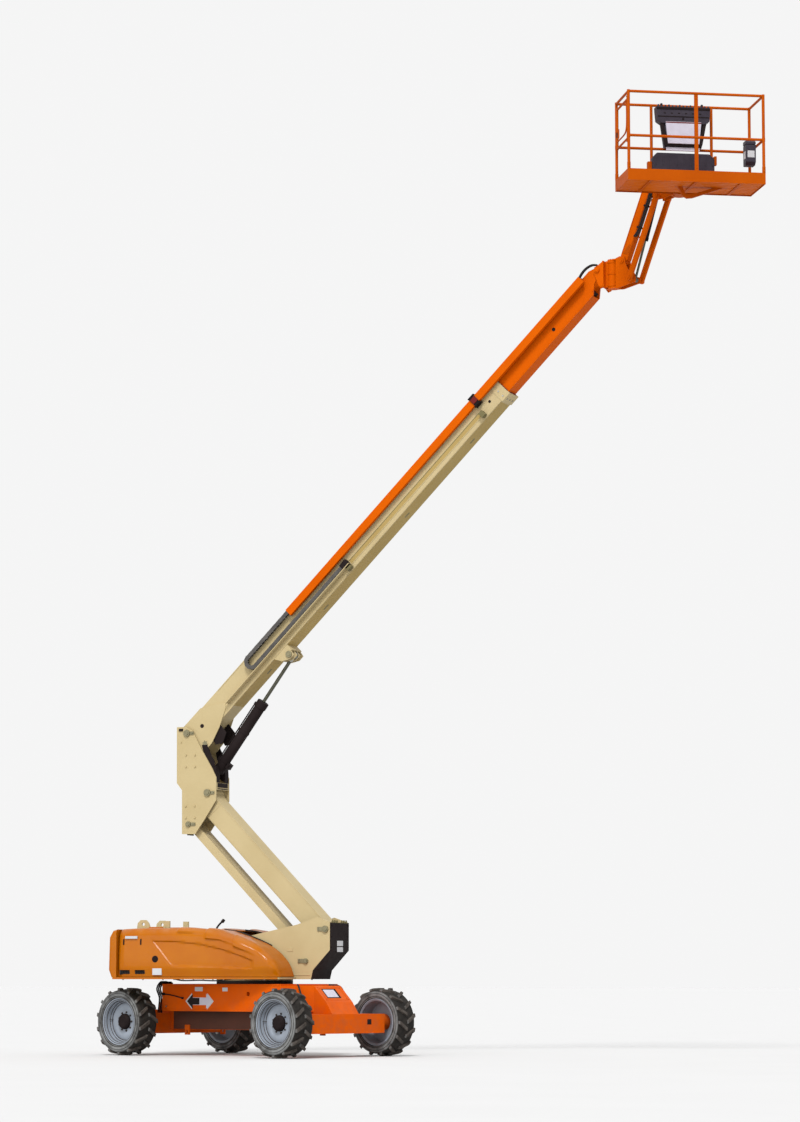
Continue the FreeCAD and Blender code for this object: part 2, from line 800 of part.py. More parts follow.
rest = fuse(cut(rest_plate, eye_hole), rest_post, *hinge_lugs, hinge_pin)
pins = []
for pin_x, pin_z, pin_radius in (
    ("tower_pin_x", "tower_pin_z", "tower_pin_radius"),
    ("tower_pin_x + link_pin_dx", "tower_pin_z + link_pin_dz", "link_pin_radius"),
):
    half = "(cheek_inner + cheek_thick + 14)"
    pins.append(bar("y", f"-{half}", half, (pin_x, pin_z), pin_radius))
node(
    "turntable_frame",
    "machine",
    fuse(deck, deck_nose, pedestal, spigot, cheek, mirrored(cheek), rest, mirrored(rest), *pins),
)
COVER = [
    ("tower_pin_x + 66", "tower_pin_z + 88"),
    ("tower_pin_x + 66", "deck_z + 390"),
    ("tower_pin_x - 181", "deck_z + 123"),
    ("tower_pin_x - 210", "deck_z"),
    ("tower_pin_x - 193", "deck_z"),
    ("tower_pin_x - 165", "deck_z + 117"),
    ("tower_pin_x + 66 + cover_thick", "deck_z + 385"),
    ("tower_pin_x + 66 + cover_thick", "tower_pin_z + 88"),
]
node("front_cover", "machine", side_plate(COVER, f"-{CHEEK_OUTER}", CHEEK_OUTER))

HOOD_FRONT = "(tower_pin_x - hood_front_set)"
HOOD = [
    ("hood_rear", "hood_bottom"),
    (HOOD_FRONT, "hood_bottom"),
    (f"{HOOD_FRONT} - 40", "hood_bottom + 133"),
    (f"{HOOD_FRONT} - 118", "hood_bottom + 243"),
    (f"{HOOD_FRONT} - 233", "hood_bottom + 352"),
    (f"{HOOD_FRONT} - 400", "hood_bottom + 452"),
    (f"{HOOD_FRONT} - 620", "hood_top - 124"),
    (f"{HOOD_FRONT} - 870", "hood_top - 40"),
    ("hood_rear + 524", "hood_top"),
    ("hood_rear", "hood_top - 20"),
]
hood_shell = side_plate(HOOD, "hood_inner", "hood_half_width")
hood_space = side_plate(
    [
        ("hood_rear + hood_skin", "hood_bottom - 10"),
        (f"{HOOD_FRONT} - hood_skin", "hood_bottom - 10"),
        (f"{HOOD_FRONT} - 40 - hood_skin", "hood_bottom + 129"),
        (f"{HOOD_FRONT} - 116 - hood_skin", "hood_bottom + 235"),
        (f"{HOOD_FRONT} - 228 - hood_skin", "hood_bottom + 341"),
        (f"{HOOD_FRONT} - 393 - hood_skin", "hood_bottom + 440"),
        (f"{HOOD_FRONT} - 620", "hood_top - 126 - hood_skin"),
        (f"{HOOD_FRONT} - 870", "hood_top - 41 - hood_skin"),
        ("hood_rear + 524", "hood_top - hood_skin"),
        ("hood_rear + hood_skin", "hood_top - 20 - hood_skin"),
    ],
    "hood_inner - 10",
    "hood_half_width - hood_skin",
)


def rounded(base, radius, chosen):
    """Base with the edges that chosen picks rounded to radius."""
    doc.recompute()
    edges = []
    for index, edge in enumerate(base.Shape.Edges, start=1):
        if chosen([vertex.Point for vertex in edge.Vertexes]):
            edges.append((index, number(radius), number(radius)))
    smooth = doc.addObject("Part::Fillet", "Rounded")
    smooth.Base = base
    smooth.Edges = edges
    doc.recompute()
    return smooth


def hood_shoulder(spots):
    """True for an edge of the hood's outer side that isn't its lower edge."""
    on_side = all(abs(spot.y - number("hood_half_width")) < 0.1 for spot in spots)
    return on_side and min(spot.z for spot in spots) > number("hood_bottom") + 1


RECESS = [
    ("tower_pin_x - 2303", "hood_top - 184"),
    ("tower_pin_x - 2106", "hood_top - 178"),
    ("tower_pin_x - 1879", "hood_top - 191"),
    ("tower_pin_x - 1577", "hood_top - 224"),
    ("tower_pin_x - 1274", "hood_top - 290"),
    ("tower_pin_x - 972", "hood_top - 383"),
    ("tower_pin_x - 821", "hood_top - 443"),
    ("tower_pin_x - 821", "hood_top - 555"),
    ("tower_pin_x - 1350", "hood_top - 535"),
    ("tower_pin_x - 1985", "hood_top - 515"),
    ("tower_pin_x - 2030", "hood_top - 489"),
]
BACKING = [
    ("tower_pin_x - 2339", "hood_top - 167"),
    ("tower_pin_x - 2104", "hood_top - 152"),
    ("tower_pin_x - 1874", "hood_top - 165"),
    ("tower_pin_x - 1569", "hood_top - 199"),
    ("tower_pin_x - 1262", "hood_top - 266"),
    ("tower_pin_x - 960", "hood_top - 360"),
    ("tower_pin_x - 795", "hood_top - 422"),
    ("tower_pin_x - 795", "hood_top - 579"),
    ("tower_pin_x - 1350", "hood_top - 559"),
    ("tower_pin_x - 1992", "hood_top - 539"),
    ("tower_pin_x - 2054", "hood_top - 500"),
]
backing = side_plate(
    BACKING, "hood_half_width - hood_recess - hood_skin", "hood_half_width - hood_skin + 2"
)
recess = side_plate(RECESS, "hood_half_width - hood_recess", "hood_half_width + 5")
vents = [
    box(
        f"hood_rear + {start}",
        f"hood_rear + {start} + 152",
        "hood_half_width - 40",
        "hood_half_width + 5",
        low,
        f"{low} + 54",
    )
    for start, low in ((40, "hood_bottom + 38"), (266, "hood_bottom + 38"))
]
latch_slots = [
    box(
        f"hood_rear + {start}",
        f"hood_rear + {start} + 22",
        "hood_half_width - 40",
        "hood_half_width + 5",
        low,
        f"{low} + 82",
    )
    for start, low in ((86, "hood_top - 232"), (342, "hood_top - 232"))
]
knuckle_low = f"{REST_FRONT} + 10"
knuckle_high = f"{POST_BACK} - 10"
knuckle = bar("x", knuckle_low, knuckle_high, (HINGE_Y, HINGE_Z), "hood_hinge_radius")
leaf = box(knuckle_low, knuckle_high, f"{HINGE_Y} - 6", "hood_inner + 45", "hood_top - 30", "hood_top + 6")
knuckle_bore = bar(
    "x", f"{knuckle_low} - 5", f"{knuckle_high} + 5", (HINGE_Y, HINGE_Z), "hood_pin_radius + running_gap"
)
hood_skin_only = cut(rounded(hood_shell, "hood_round", hood_shoulder), hood_space)
hood_left = cut(fuse(hood_skin_only, backing, knuckle, leaf), recess, *vents, *latch_slots, knuckle_bore)
node("hood_left", "machine", hood_left)
node("hood_right", "machine", mirrored(hood_left))
pack = box(
    "-900", "300", "hood_inner + 60", "hood_half_width - 90", "deck_z + deck_thick", "hood_top - 260"
)
node("power_pack", "machine", pack)
node("battery_pack", "machine", mirrored(pack))
WEIGHT = [
    ("weight_rear + 40", "deck_z + deck_thick"),
    ("hood_rear - 6", "deck_z + deck_thick"),
    ("hood_rear - 6", "hood_top - 20"),
    ("weight_rear + 62", "hood_top - 38"),
    ("weight_rear + 10", "hood_top - 130"),
    ("weight_rear", "hood_bottom + 95"),
]


def weight_corner(spots):
    """True for an edge of the counterweight's outer side that faces back or up."""
    on_side = all(abs(spot.y - number("hood_half_width")) < 0.1 for spot in spots)
    inside = all(spot.x > number("hood_rear - 8") for spot in spots)
    return on_side and not inside and max(spot.z for spot in spots) > number("hood_bottom + 50")


weight_side = rounded(side_plate(WEIGHT, "hood_inner", "hood_half_width"), "weight_round", weight_corner)
weight_floor = box(
    "weight_rear + 40",
    "cheek_back - 5",
    "-hood_inner",
    "hood_inner",
    "deck_z + deck_thick",
    "deck_z + deck_thick + 30",
)
node("counterweight", "machine", fuse(weight_side, mirrored(weight_side), weight_floor))

# ---------------------------------------------------------------------------
# Tower boom, tension link and upright
# ---------------------------------------------------------------------------
TOWER = [
    ("-30", "-52"),
    ("160", "-tower_top_set"),
    ("tower_length - 160", "-tower_top_set"),
    ("tower_length + 30", "-52"),
    ("tower_length + 52", "30"),
    ("tower_length - 60", "tower_depth - 60 - tower_top_set"),
    ("tower_length - 160", "tower_depth - tower_top_set"),
    ("160", "tower_depth - tower_top_set"),
    ("60", "tower_depth - 60 - tower_top_set"),
    ("-52", "30"),
]
tower_box = side_plate(TOWER, "-tower_half_width", "tower_half_width")
tower_boss_low = bar(
    "y", "pin_side_gap - cheek_inner", "cheek_inner - pin_side_gap", ("0", "0"), "boss_radius"
)
UPRIGHT_INNER = "(upright_outer - upright_plate)"
tower_boss_high = bar(
    "y",
    f"pin_side_gap - {UPRIGHT_INNER}",
    f"{UPRIGHT_INNER} - pin_side_gap",
    ("tower_length", "0"),
    "boss_radius",
)
tower_hollow = box(
    "220",
    "tower_length - 220",
    "tower_wall - tower_half_width",
    "tower_half_width - tower_wall",
    "tower_wall - tower_top_set",
    "tower_depth - tower_top_set - tower_wall",
)
tower_bores = [
    bar("y", "-cheek_inner", "cheek_inner", (spot, "0"), "tower_pin_radius + running_gap") for spot in (
        "0", "tower_length"
    )
]
node(
    "tower_boom", "tower", cut(fuse(tower_box, tower_boss_low, tower_boss_high), tower_hollow, *tower_bores)
)

LINK = [
    ("0", "-link_half_depth"),
    ("tower_length", "-link_half_depth"),
    ("tower_length", "link_half_depth"),
    ("0", "link_half_depth"),
]
link_box = side_plate(LINK, "-link_half_width", "link_half_width")
link_low = bar(
    "y", "pin_side_gap - cheek_inner", "cheek_inner - pin_side_gap", ("0", "0"), "link_half_depth"
)
link_high = bar(
    "y",
    f"pin_side_gap - {UPRIGHT_INNER}",
    f"{UPRIGHT_INNER} - pin_side_gap",
    ("tower_length", "0"),
    "link_half_depth",
)
link_hollow = box(
    "200",
    "tower_length - 200",
    "8 - link_half_width",
    "link_half_width - 8",
    "8 - link_half_depth",
    "link_half_depth - 8",
)
link_bores = [
    bar("y", "-cheek_inner", "cheek_inner", (spot, "0"), "link_pin_radius + running_gap") for spot in (
        "0", "tower_length"
    )
]
node("tension_link", "link", cut(fuse(link_box, link_low, link_high), link_hollow, *link_bores))

UPRIGHT = [
    ("-470", "910"),
    ("-465", "140"),
    ("-386", "42"),
    ("-381", "-560"),
    ("-184", "-563"),
    ("-50", "-374"),
    ("129", "-104"),
    ("127", "210"),
    ("66", "334"),
    ("-87", "584"),
    ("-240", "862"),
    ("-330", "910"),
]
upright_side = side_plate(UPRIGHT, UPRIGHT_INNER, "upright_outer")
front_panel = box("109", "125", f"-{UPRIGHT_INNER}", UPRIGHT_INNER, "40", "140")
low_panel = box("-378", "-362", f"-{UPRIGHT_INNER}", UPRIGHT_INNER, "-300", "40")
rear_panel = box("-466", "-450", f"-{UPRIGHT_INNER}", UPRIGHT_INNER, "150", "560")
upright_pins = [
    bar("y", "-upright_outer - 14", "upright_outer + 14", spot, radius)
    for spot, radius in (
        (("0", "0"), "tower_pin_radius"),
        (("link_pin_dx", "link_pin_dz"), "link_pin_radius"),
        (("boom_pivot_dx", "boom_pivot_dz"), "boom_pin_radius"),
    )
]
node(
    "upright",
    "upright",
    fuse(upright_side, mirrored(upright_side), front_panel, low_panel, rear_panel, *upright_pins),
)
BRACKET = [
    ("lift_base_dx - 60", "lift_base_dz - 100"),
    ("124", "lift_base_dz - 179"),
    ("124", "lift_base_dz - 60"),
    ("lift_base_dx + 45", "lift_base_dz + 45"),
    ("lift_base_dx - 45", "lift_base_dz + 45"),
]
bracket_plate = side_plate(BRACKET, "barrel_radius + 12", f"{UPRIGHT_INNER}")
pin_head = bar(
    "y", "barrel_radius + 7", f"{UPRIGHT_INNER}", ("lift_base_dx", "lift_base_dz"), "lift_pin_radius"
)
node("lift_bracket", "upright", fuse(bracket_plate, pin_head), mirrored(fuse(bracket_plate, pin_head)))

# ---------------------------------------------------------------------------
# Main boom and its lift cylinder
# ---------------------------------------------------------------------------
LUG_X = f"({PIVOT_X} + lug_pin_x * cos(boom_angle) - lug_pin_z * sin(boom_angle))"
LUG_Z = f"({PIVOT_Z} + lug_pin_x * sin(boom_angle) + lug_pin_z * cos(boom_angle))"
LIFT_X = f"({TOWER_TOP_X} + lift_base_dx)"
LIFT_Z = f"({TOWER_TOP_Z} + lift_base_dz)"
LIFT_ANGLE = f"atan2({LUG_Z} - {LIFT_Z}; {LUG_X} - {LIFT_X})"
LIFT_LENGTH = f"sqrt(({LUG_X} - {LIFT_X})^2 + ({LUG_Z} - {LIFT_Z})^2)"
FRAMES["lift"] = (f"axis_x + {LIFT_X}", "axis_y", LIFT_Z, UP_TILT, LIFT_ANGLE)

base_outer = box("base_start", "base_end", "-base_half_width", "base_half_width", "base_low", "base_high")
base_inner = box(
    "base_start - 10",
    "base_end + 10",
    "base_wall - base_half_width",
    "base_half_width - base_wall",
    "base_low + base_wall",
    "base_high - base_wall",
)
PIVOT_PLATE = [
    ("-58", "-50"),
    ("-58", "50"),
    ("0", "base_high + 12"),
    ("374", "base_high + 8"),
    ("691", "-110"),
    ("640", "-165"),
    ("386", "base_low - 58"),
    ("168", "base_low - 126"),
    ("8", "base_low - 136"),
    ("-36", "base_low - 80"),
    ("0", "-150"),
]
pivot_side = side_plate(PIVOT_PLATE, "base_half_width", "base_half_width + pivot_plate")
pivot_boss = bar("y", "-base_half_width - 2", "base_half_width + 2", ("0", "0"), "boom_pin_radius + 20")
pin_disc = bar(
    "y", "base_half_width + pivot_plate", "base_half_width + pivot_plate + 8", ("81", "-288"), "45"
)
pivot_bore = bar(
    "y", "-base_half_width - 40", "base_half_width + 40", ("0", "0"), "boom_pin_radius + running_gap"
)
LUG = [
    ("lug_pin_x - 200", "base_low + 2"),
    ("lug_pin_x - 144", "lug_pin_z + 13"),
    ("lug_pin_x - 40", "lug_pin_z - 52"),
    ("lug_pin_x + 45", "lug_pin_z - 52"),
    ("lug_pin_x + 75", "base_low + 2"),
]
lug_ear = side_plate(LUG, "35", "60")
lug_outer = side_plate(LUG, "base_half_width - 20", "base_half_width")
lug_front = box(
    "lug_pin_x + 60",
    "lug_pin_x + 75",
    "-base_half_width",
    "base_half_width",
    "base_low - 95",
    "base_low + 2",
)
lug_pin = bar(
    "y", "-base_half_width - 8", "base_half_width + 8", ("lug_pin_x", "lug_pin_z"), "lift_pin_radius"
)
boom_tube = cut(fuse(base_outer, pivot_side, mirrored(pivot_side), pivot_boss), base_inner, pivot_bore)
node(
    "boom_base",
    "boom",
    fuse(
        boom_tube,
        lug_ear,
        mirrored(lug_ear),
        lug_outer,
        mirrored(lug_outer),
        lug_front,
        lug_pin,
        pin_disc,
        mirrored(pin_disc),
    ),
)

COLLAR_HALF = "(base_half_width + 6)"
collar_outer = box(
    "base_end - collar_length",
    "base_end + 40",
    f"-{COLLAR_HALF}",
    COLLAR_HALF,
    "base_low - 14",
    "base_high + 14",
)
collar_sleeve = box(
    "base_end - collar_length - 10",
    "base_end",
    "-base_half_width",
    "base_half_width",
    "base_low",
    "base_high",
)
collar_hole = box(
    "base_end - 10",
    "base_end + 50",
    "-fly_half_width - pad_gap",
    "fly_half_width + pad_gap",
    "fly_low - pad_gap",
    "fly_high + pad_gap",
)
node("boom_collar", "boom", cut(collar_outer, collar_sleeve, collar_hole))

fly_outer = box("fly_rear", f"{FLY_FRONT}", "-fly_half_width", "fly_half_width", "fly_low", "fly_high")
fly_pads = box(
    "fly_rear + 10",
    "fly_rear + 130",
    "base_wall + pad_gap - base_half_width",
    "base_half_width - base_wall - pad_gap",
    "base_low + base_wall + pad_gap",
    "base_high - base_wall - pad_gap",
)
fly_inner = box(
    "fly_rear - 10",
    f"{FLY_FRONT} + 10",
    "fly_wall - fly_half_width",
    "fly_half_width - fly_wall",
    "fly_low + fly_wall",
    "fly_high - fly_wall",
)
FLY_END = [
    (f"{FLY_FRONT} - 60", "fly_high"),
    (f"{FLY_FRONT} - 60", "fly_low"),
    (f"{FLY_FRONT} + 13", "fly_low"),
    (f"{TIP_PIN_X} - 165", "tip_pin_z - 92"),
    (f"{TIP_PIN_X} - 20", "tip_pin_z - 46"),
    (f"{TIP_PIN_X} + 34", "tip_pin_z - 30"),
    (f"{TIP_PIN_X} + 46", "tip_pin_z"),
    (f"{TIP_PIN_X} + 30", "tip_pin_z + 36"),
    (f"{TIP_PIN_X} - 30", "tip_pin_z + 60"),
    (f"{TIP_PIN_X} - 90", "fly_high"),
]
fly_plate = side_plate(FLY_END, "fly_half_width - 26", "fly_half_width")
tip_pin = bar(
    "y", "-fly_half_width - 30", "fly_half_width + 30", (f"{TIP_PIN_X}", "tip_pin_z"), "lift_pin_radius - 4"
)
node(
    "fly_boom",
    "boom",
    fuse(cut(fuse(fly_outer, fly_pads), fly_inner), fly_plate, mirrored(fly_plate), tip_pin),
)

TUBE_NEAR = f"(-{COLLAR_HALF} - tube_gap)"
TUBE_FAR = f"(-{COLLAR_HALF} - tube_gap - tube_width)"
tube = box("tube_start", f"{FLY_FRONT} + 65", TUBE_FAR, TUBE_NEAR, "tube_low", "tube_high")
tube_inner = box(
    "tube_start - 5",
    f"{FLY_FRONT} + 70",
    f"{TUBE_FAR} + 5",
    f"{TUBE_NEAR} - 5",
    "tube_low + 5",
    "tube_high - 5",
)
tube_arm = box(
    f"{FLY_FRONT} + 5",
    f"{FLY_FRONT} + 60",
    f"{TUBE_NEAR} - 3",
    "-fly_half_width",
    "tube_low + 30",
    "fly_high - 16",
)
node("hose_tube", "boom", fuse(cut(tube, tube_inner), tube_arm))

GUIDE_X = "(base_end - guide_set)"
guide_outer = box(
    GUIDE_X,
    f"{GUIDE_X} + guide_length",
    f"{TUBE_FAR} - 14",
    "-base_half_width",
    "tube_low - 16",
    "tube_high + 14",
)
guide_inner = box(
    f"{GUIDE_X} - 5",
    f"{GUIDE_X} + guide_length + 5",
    f"{TUBE_FAR} - 5",
    f"{TUBE_NEAR} + 5",
    "tube_low - 5",
    "tube_high + 5",
)
node("tube_guide", "boom", cut(guide_outer, guide_inner))

TRACK_MID = "((tube_low + tube_high) / 2 - 67)"
TURN_STEPS = 8
bend = [180 * step / TURN_STEPS + 90 for step in range(TURN_STEPS + 1)]
outer_bend = [
    (f"track_turn_x + track_outer * cos({a})", f"{TRACK_MID} + track_outer * sin({a})") for a in bend
]
inner_bend = [
    (f"track_turn_x + track_inner * cos({a})", f"{TRACK_MID} + track_inner * sin({a})") for a in bend
]
TRACK = [
    ("tube_start", f"{TRACK_MID} + track_outer"),
    *outer_bend,
    ("track_fixed_x", f"{TRACK_MID} - track_outer"),
    ("track_fixed_x", f"{TRACK_MID} - track_inner"),
    *inner_bend[::-1],
    ("tube_start", f"{TRACK_MID} + track_inner"),
]
link_ribs = []
for run_low, run_start, count in (
    (f"{TRACK_MID} + track_inner", 60, 5), (f"{TRACK_MID} - track_outer", 60, 12)
):
    for index in range(count):
        rib_x = f"track_turn_x + {run_start + 150 * index}"
        rib_low = f"{run_low} - 4"
        rib_high = f"{run_low} + track_outer - track_inner + 4"
        link_ribs.append(box(rib_x, f"{rib_x} + 75", TUBE_FAR, TUBE_NEAR, rib_low, rib_high))
node("power_track", "boom", fuse(side_plate(TRACK, TUBE_FAR, TUBE_NEAR), *link_ribs))
tray = box(
    "base_start + 371",
    "track_fixed_x + 90",
    f"{TUBE_FAR} - 4",
    "-base_half_width",
    f"{TRACK_MID} - track_outer - 14",
    f"{TRACK_MID} - track_outer - 4",
)
tray_stop = box(
    "track_fixed_x",
    "track_fixed_x + 80",
    TUBE_FAR,
    "-base_half_width",
    f"{TRACK_MID} - track_outer - 8",
    f"{TRACK_MID} - track_inner",
)
node("track_tray", "boom", fuse(tray, tray_stop))

barrel = fuse(
    bar("x", "0", "barrel_length", ("0", "0"), "barrel_radius"),
    bar("x", "barrel_length - 70", "barrel_length", ("0", "0"), "barrel_radius + 6"),
    bar("y", "-barrel_radius - 2", "barrel_radius + 2", ("0", "0"), "lift_pin_radius"),
    bar("y", "12 - barrel_radius", "barrel_radius - 12", ("0", "0"), "barrel_radius - 8"),
)
barrel_bore = bar("x", "90", "barrel_length - 70", ("0", "0"), "barrel_radius - 15")
gland_bore = bar("x", "barrel_length - 80", "barrel_length + 5", ("0", "0"), "rod_radius + running_gap")
node("lift_barrel", "lift", cut(barrel, barrel_bore, gland_bore))
rod = fuse(
    bar("x", "650", f"{LIFT_LENGTH} - 30", ("0", "0"), "rod_radius"),
    bar("x", "650", "710", ("0", "0"), "barrel_radius - 16"),
    bar("y", "-30", "30", (LIFT_LENGTH, "0"), "50"),
)
rod_eye = bar("y", "-40", "40", (LIFT_LENGTH, "0"), "lift_pin_radius + running_gap")
node("lift_rod", "lift", cut(rod, rod_eye))

# ---------------------------------------------------------------------------
# Levelled tip, jib and jib cylinder
# ---------------------------------------------------------------------------
TIP_X = "(-swing_dx)"
BACK = "(actuator_radius + 6)"
KNUCKLE = [
    (f"{TIP_X} - 52", "-20"),
    (f"{TIP_X} - 40", "40"),
    (TIP_X, "58"),
    (f"-{BACK}", "actuator_high - 10"),
    (f"-{BACK}", "actuator_low - 15"),
    (f"{TIP_X} + 50", "actuator_low - 30"),
    (f"{TIP_X} + 20", "actuator_low + 10"),
]
tip_plate = side_plate(KNUCKLE, "fly_half_width + 6", "fly_half_width + 22")
tip_wall = box(
    f"-{BACK} - 16",
    f"-{BACK}",
    "-fly_half_width - 22",
    "fly_half_width + 22",
    "actuator_low - 15",
    "actuator_high - 10",
)
tip_neck = box(f"-{BACK}", "0", "-60", "60", "actuator_low", "actuator_high")
actuator = bar("z", "actuator_low", "actuator_high", ("0", "0"), "actuator_radius")
slave_pin = bar("y", "fly_half_width + 6", "fly_half_width + 28", (f"{TIP_X} + 66", "-208"), "20")
tip_bore = bar(
    "y", "-fly_half_width - 40", "fly_half_width + 40", (TIP_X, "0"), "lift_pin_radius - 4 + running_gap"
)
node(
    "tip_knuckle",
    "tip",
    cut(
        fuse(tip_plate, mirrored(tip_plate), tip_wall, tip_neck, actuator, slave_pin, mirrored(slave_pin)),
        tip_bore,
    ),
)

LINK_X = "(jib_pin_x + jib_link_dx)"
LINK_Z = "(jib_pin_z + jib_link_dz)"
BRACKET_EAR = [
    ("actuator_radius + 10", "actuator_low - 24"),
    ("actuator_radius + 10", "actuator_high + 24"),
    ("jib_pin_x - 40", "actuator_high + 44"),
    ("jib_pin_x + 40", "jib_pin_z + 52"),
    ("jib_pin_x + 52", "jib_pin_z - 40"),
    (f"{LINK_X} - 30", f"{LINK_Z} + 60"),
    (f"{LINK_X} + 42", f"{LINK_Z} + 34"),
    (f"{LINK_X} + 42", f"{LINK_Z} - 38"),
    ("actuator_radius + 60", "actuator_low - 24"),
]
EAR_IN = "(jib_beam_half_width + pin_side_gap)"
EAR_OUT = f"({EAR_IN} + 16)"
ear = side_plate(BRACKET_EAR, EAR_IN, EAR_OUT)
bracket_wall = box(
    "actuator_radius + 10",
    "actuator_radius + 26",
    f"-{EAR_OUT}",
    EAR_OUT,
    "actuator_low - 24",
    "actuator_high + 24",
)
caps = []
for cap_low in ("actuator_low - 20 - soft_gap", "actuator_high + soft_gap"):
    caps.append(bar("z", cap_low, f"{cap_low} + 20", ("0", "0"), "actuator_radius - 4"))
    caps.append(box("0", "actuator_radius + 26", f"-{EAR_OUT}", EAR_OUT, cap_low, f"{cap_low} + 20"))
beam_pin = bar("y", f"-{EAR_OUT} - 10", f"{EAR_OUT} + 10", ("jib_pin_x", "jib_pin_z"), "jib_pin_radius")
LINK_OUT = "(jib_link_half_gap + jib_link_thick / 2)"
stub = bar("y", "40", f"{LINK_OUT} + 8", (LINK_X, LINK_Z), "jib_pin_radius")
node("jib_bracket", "jib", fuse(ear, mirrored(ear), bracket_wall, *caps, beam_pin, stub, mirrored(stub)))

beam = fuse(
    box(
        "30",
        "jib_length - 30",
        "-jib_beam_half_width",
        "jib_beam_half_width",
        "-jib_beam_half_depth",
        "jib_beam_half_depth",
    ),
    bar("y", "-jib_beam_half_width", "jib_beam_half_width", ("0", "0"), "jib_beam_half_depth - 14"),
    bar(
        "y", "-jib_beam_half_width", "jib_beam_half_width", ("jib_length", "0"), "jib_beam_half_depth - 14"
    ),
)
beam_bores = [
    bar(
        "y",
        "-jib_beam_half_width - 5",
        "jib_beam_half_width + 5",
        (spot, "0"),
        "jib_pin_radius + running_gap",
    )
    for spot in ("0", "jib_length")
]
beam_hollow = box(
    "90",
    "jib_length - 90",
    "7 - jib_beam_half_width",
    "jib_beam_half_width - 7",
    "7 - jib_beam_half_depth",
    "jib_beam_half_depth - 7",
)
JIB_LUG = [
    ("jib_lug_x - 90", "2 - jib_beam_half_depth"),
    ("jib_lug_x + 70", "2 - jib_beam_half_depth"),
    ("jib_lug_x + 30", "-jib_lug_drop - 30"),
    ("jib_lug_x - 30", "-jib_lug_drop - 30"),
]
jib_lug = side_plate(JIB_LUG, "jib_barrel_radius + 4", "jib_beam_half_width - 1")
jib_lug_pin = bar(
    "y", "-jib_beam_half_width", "jib_beam_half_width", ("jib_lug_x", "-jib_lug_drop"), "jib_pin_radius - 2"
)
whole_beam = fuse(cut(beam, beam_hollow, *beam_bores), jib_lug, mirrored(jib_lug), jib_lug_pin)
node("jib_beam", "jib", place(group(whole_beam), "jib_pin_x", "0", "jib_pin_z", UP_TILT, "jib_angle"))

link_bar = fuse(
    box(
        "0",
        "jib_length",
        "jib_link_half_gap - jib_link_thick / 2",
        LINK_OUT,
        "-jib_link_half_depth",
        "jib_link_half_depth",
    ),
    bar("y", "jib_link_half_gap - jib_link_thick / 2", LINK_OUT, ("0", "0"), "jib_link_half_depth"),
    bar(
        "y", "jib_link_half_gap - jib_link_thick / 2", LINK_OUT, ("jib_length", "0"), "jib_link_half_depth"
    ),
)
link_bar_bores = [
    bar("y", "0", f"{LINK_OUT} + 10", (spot, "0"), "jib_pin_radius + running_gap") for spot in (
        "0", "jib_length"
    )
]
one_link = cut(link_bar, *link_bar_bores)
node(
    "jib_links",
    "jib",
    place(group(one_link, mirrored(one_link)), LINK_X, "0", LINK_Z, UP_TILT, "jib_angle"),
)

JLUG_X = "(jib_pin_x + jib_lug_x * cos(jib_angle) + jib_lug_drop * sin(jib_angle))"
JLUG_Z = "(jib_pin_z + jib_lug_x * sin(jib_angle) - jib_lug_drop * cos(jib_angle))"
JCYL_ANGLE = f"atan2({JLUG_Z} - {LINK_Z}; {JLUG_X} - {LINK_X})"
JCYL_LENGTH = f"sqrt(({JLUG_X} - {LINK_X})^2 + ({JLUG_Z} - {LINK_Z})^2)"
JIB_BARREL_START = f"({JCYL_LENGTH} - jib_barrel_length)"
jib_barrel = fuse(
    bar("x", JIB_BARREL_START, JCYL_LENGTH, ("0", "0"), "jib_barrel_radius"),
    bar("y", "-29", "29", (JCYL_LENGTH, "0"), "jib_barrel_radius - 2"),
)
jib_barrel_bores = [
    bar("x", f"{JIB_BARREL_START} + 40", f"{JCYL_LENGTH} - 50", ("0", "0"), "jib_barrel_radius - 8"),
    bar("x", f"{JIB_BARREL_START} - 5", f"{JCYL_LENGTH} - 60", ("0", "0"), "jib_rod_radius + running_gap"),
    bar("y", "-40", "40", (JCYL_LENGTH, "0"), "jib_pin_radius - 2 + running_gap"),
]
node(
    "jib_barrel",
    "jib",
    place(group(cut(jib_barrel, *jib_barrel_bores)), LINK_X, "0", LINK_Z, UP_TILT, JCYL_ANGLE),
)
jib_rod = fuse(
    bar("x", "0", f"{JIB_BARREL_START} + 110", ("0", "0"), "jib_rod_radius"),
    bar("x", f"{JIB_BARREL_START} + 80", f"{JIB_BARREL_START} + 110", ("0", "0"), "jib_barrel_radius - 9"),
    bar("y", "-28", "28", ("0", "0"), "jib_pin_radius + 12"),
    bar("y", "-34", "34", ("0", "0"), "jib_pin_radius"),
)
node("jib_rod", "jib", place(group(jib_rod), LINK_X, "0", LINK_Z, UP_TILT, JCYL_ANGLE))

# ---------------------------------------------------------------------------
# Platform support and platform
# ---------------------------------------------------------------------------
FOOT_X = f"({HEAD_X} + jib_link_dx)"
FOOT_Z = f"({HEAD_Z} + jib_link_dz)"
ROTOR_LOW = f"({PLATFORM_Z} + 36 + soft_gap)"
ROTOR_HIGH = f"({PLATFORM_Z} + 364 - soft_gap)"
SUPPORT = [
    (f"{HEAD_X} - 30", f"{HEAD_Z} - 40"),
    (f"{HEAD_X} - 36", f"{HEAD_Z} + 30"),
    (f"{HEAD_X} + 20", f"{HEAD_Z} + 44"),
    (f"{ROTATOR_X} - rotator_radius - 10", ROTOR_HIGH),
    (f"{ROTATOR_X} - rotator_radius - 10", ROTOR_LOW),
    (f"{FOOT_X} + 40", f"{FOOT_Z} - 34"),
    (f"{FOOT_X} - 30", f"{FOOT_Z} - 36"),
    (f"{FOOT_X} - 36", f"{FOOT_Z} + 20"),
]
support_ear = side_plate(SUPPORT, EAR_IN, EAR_OUT)
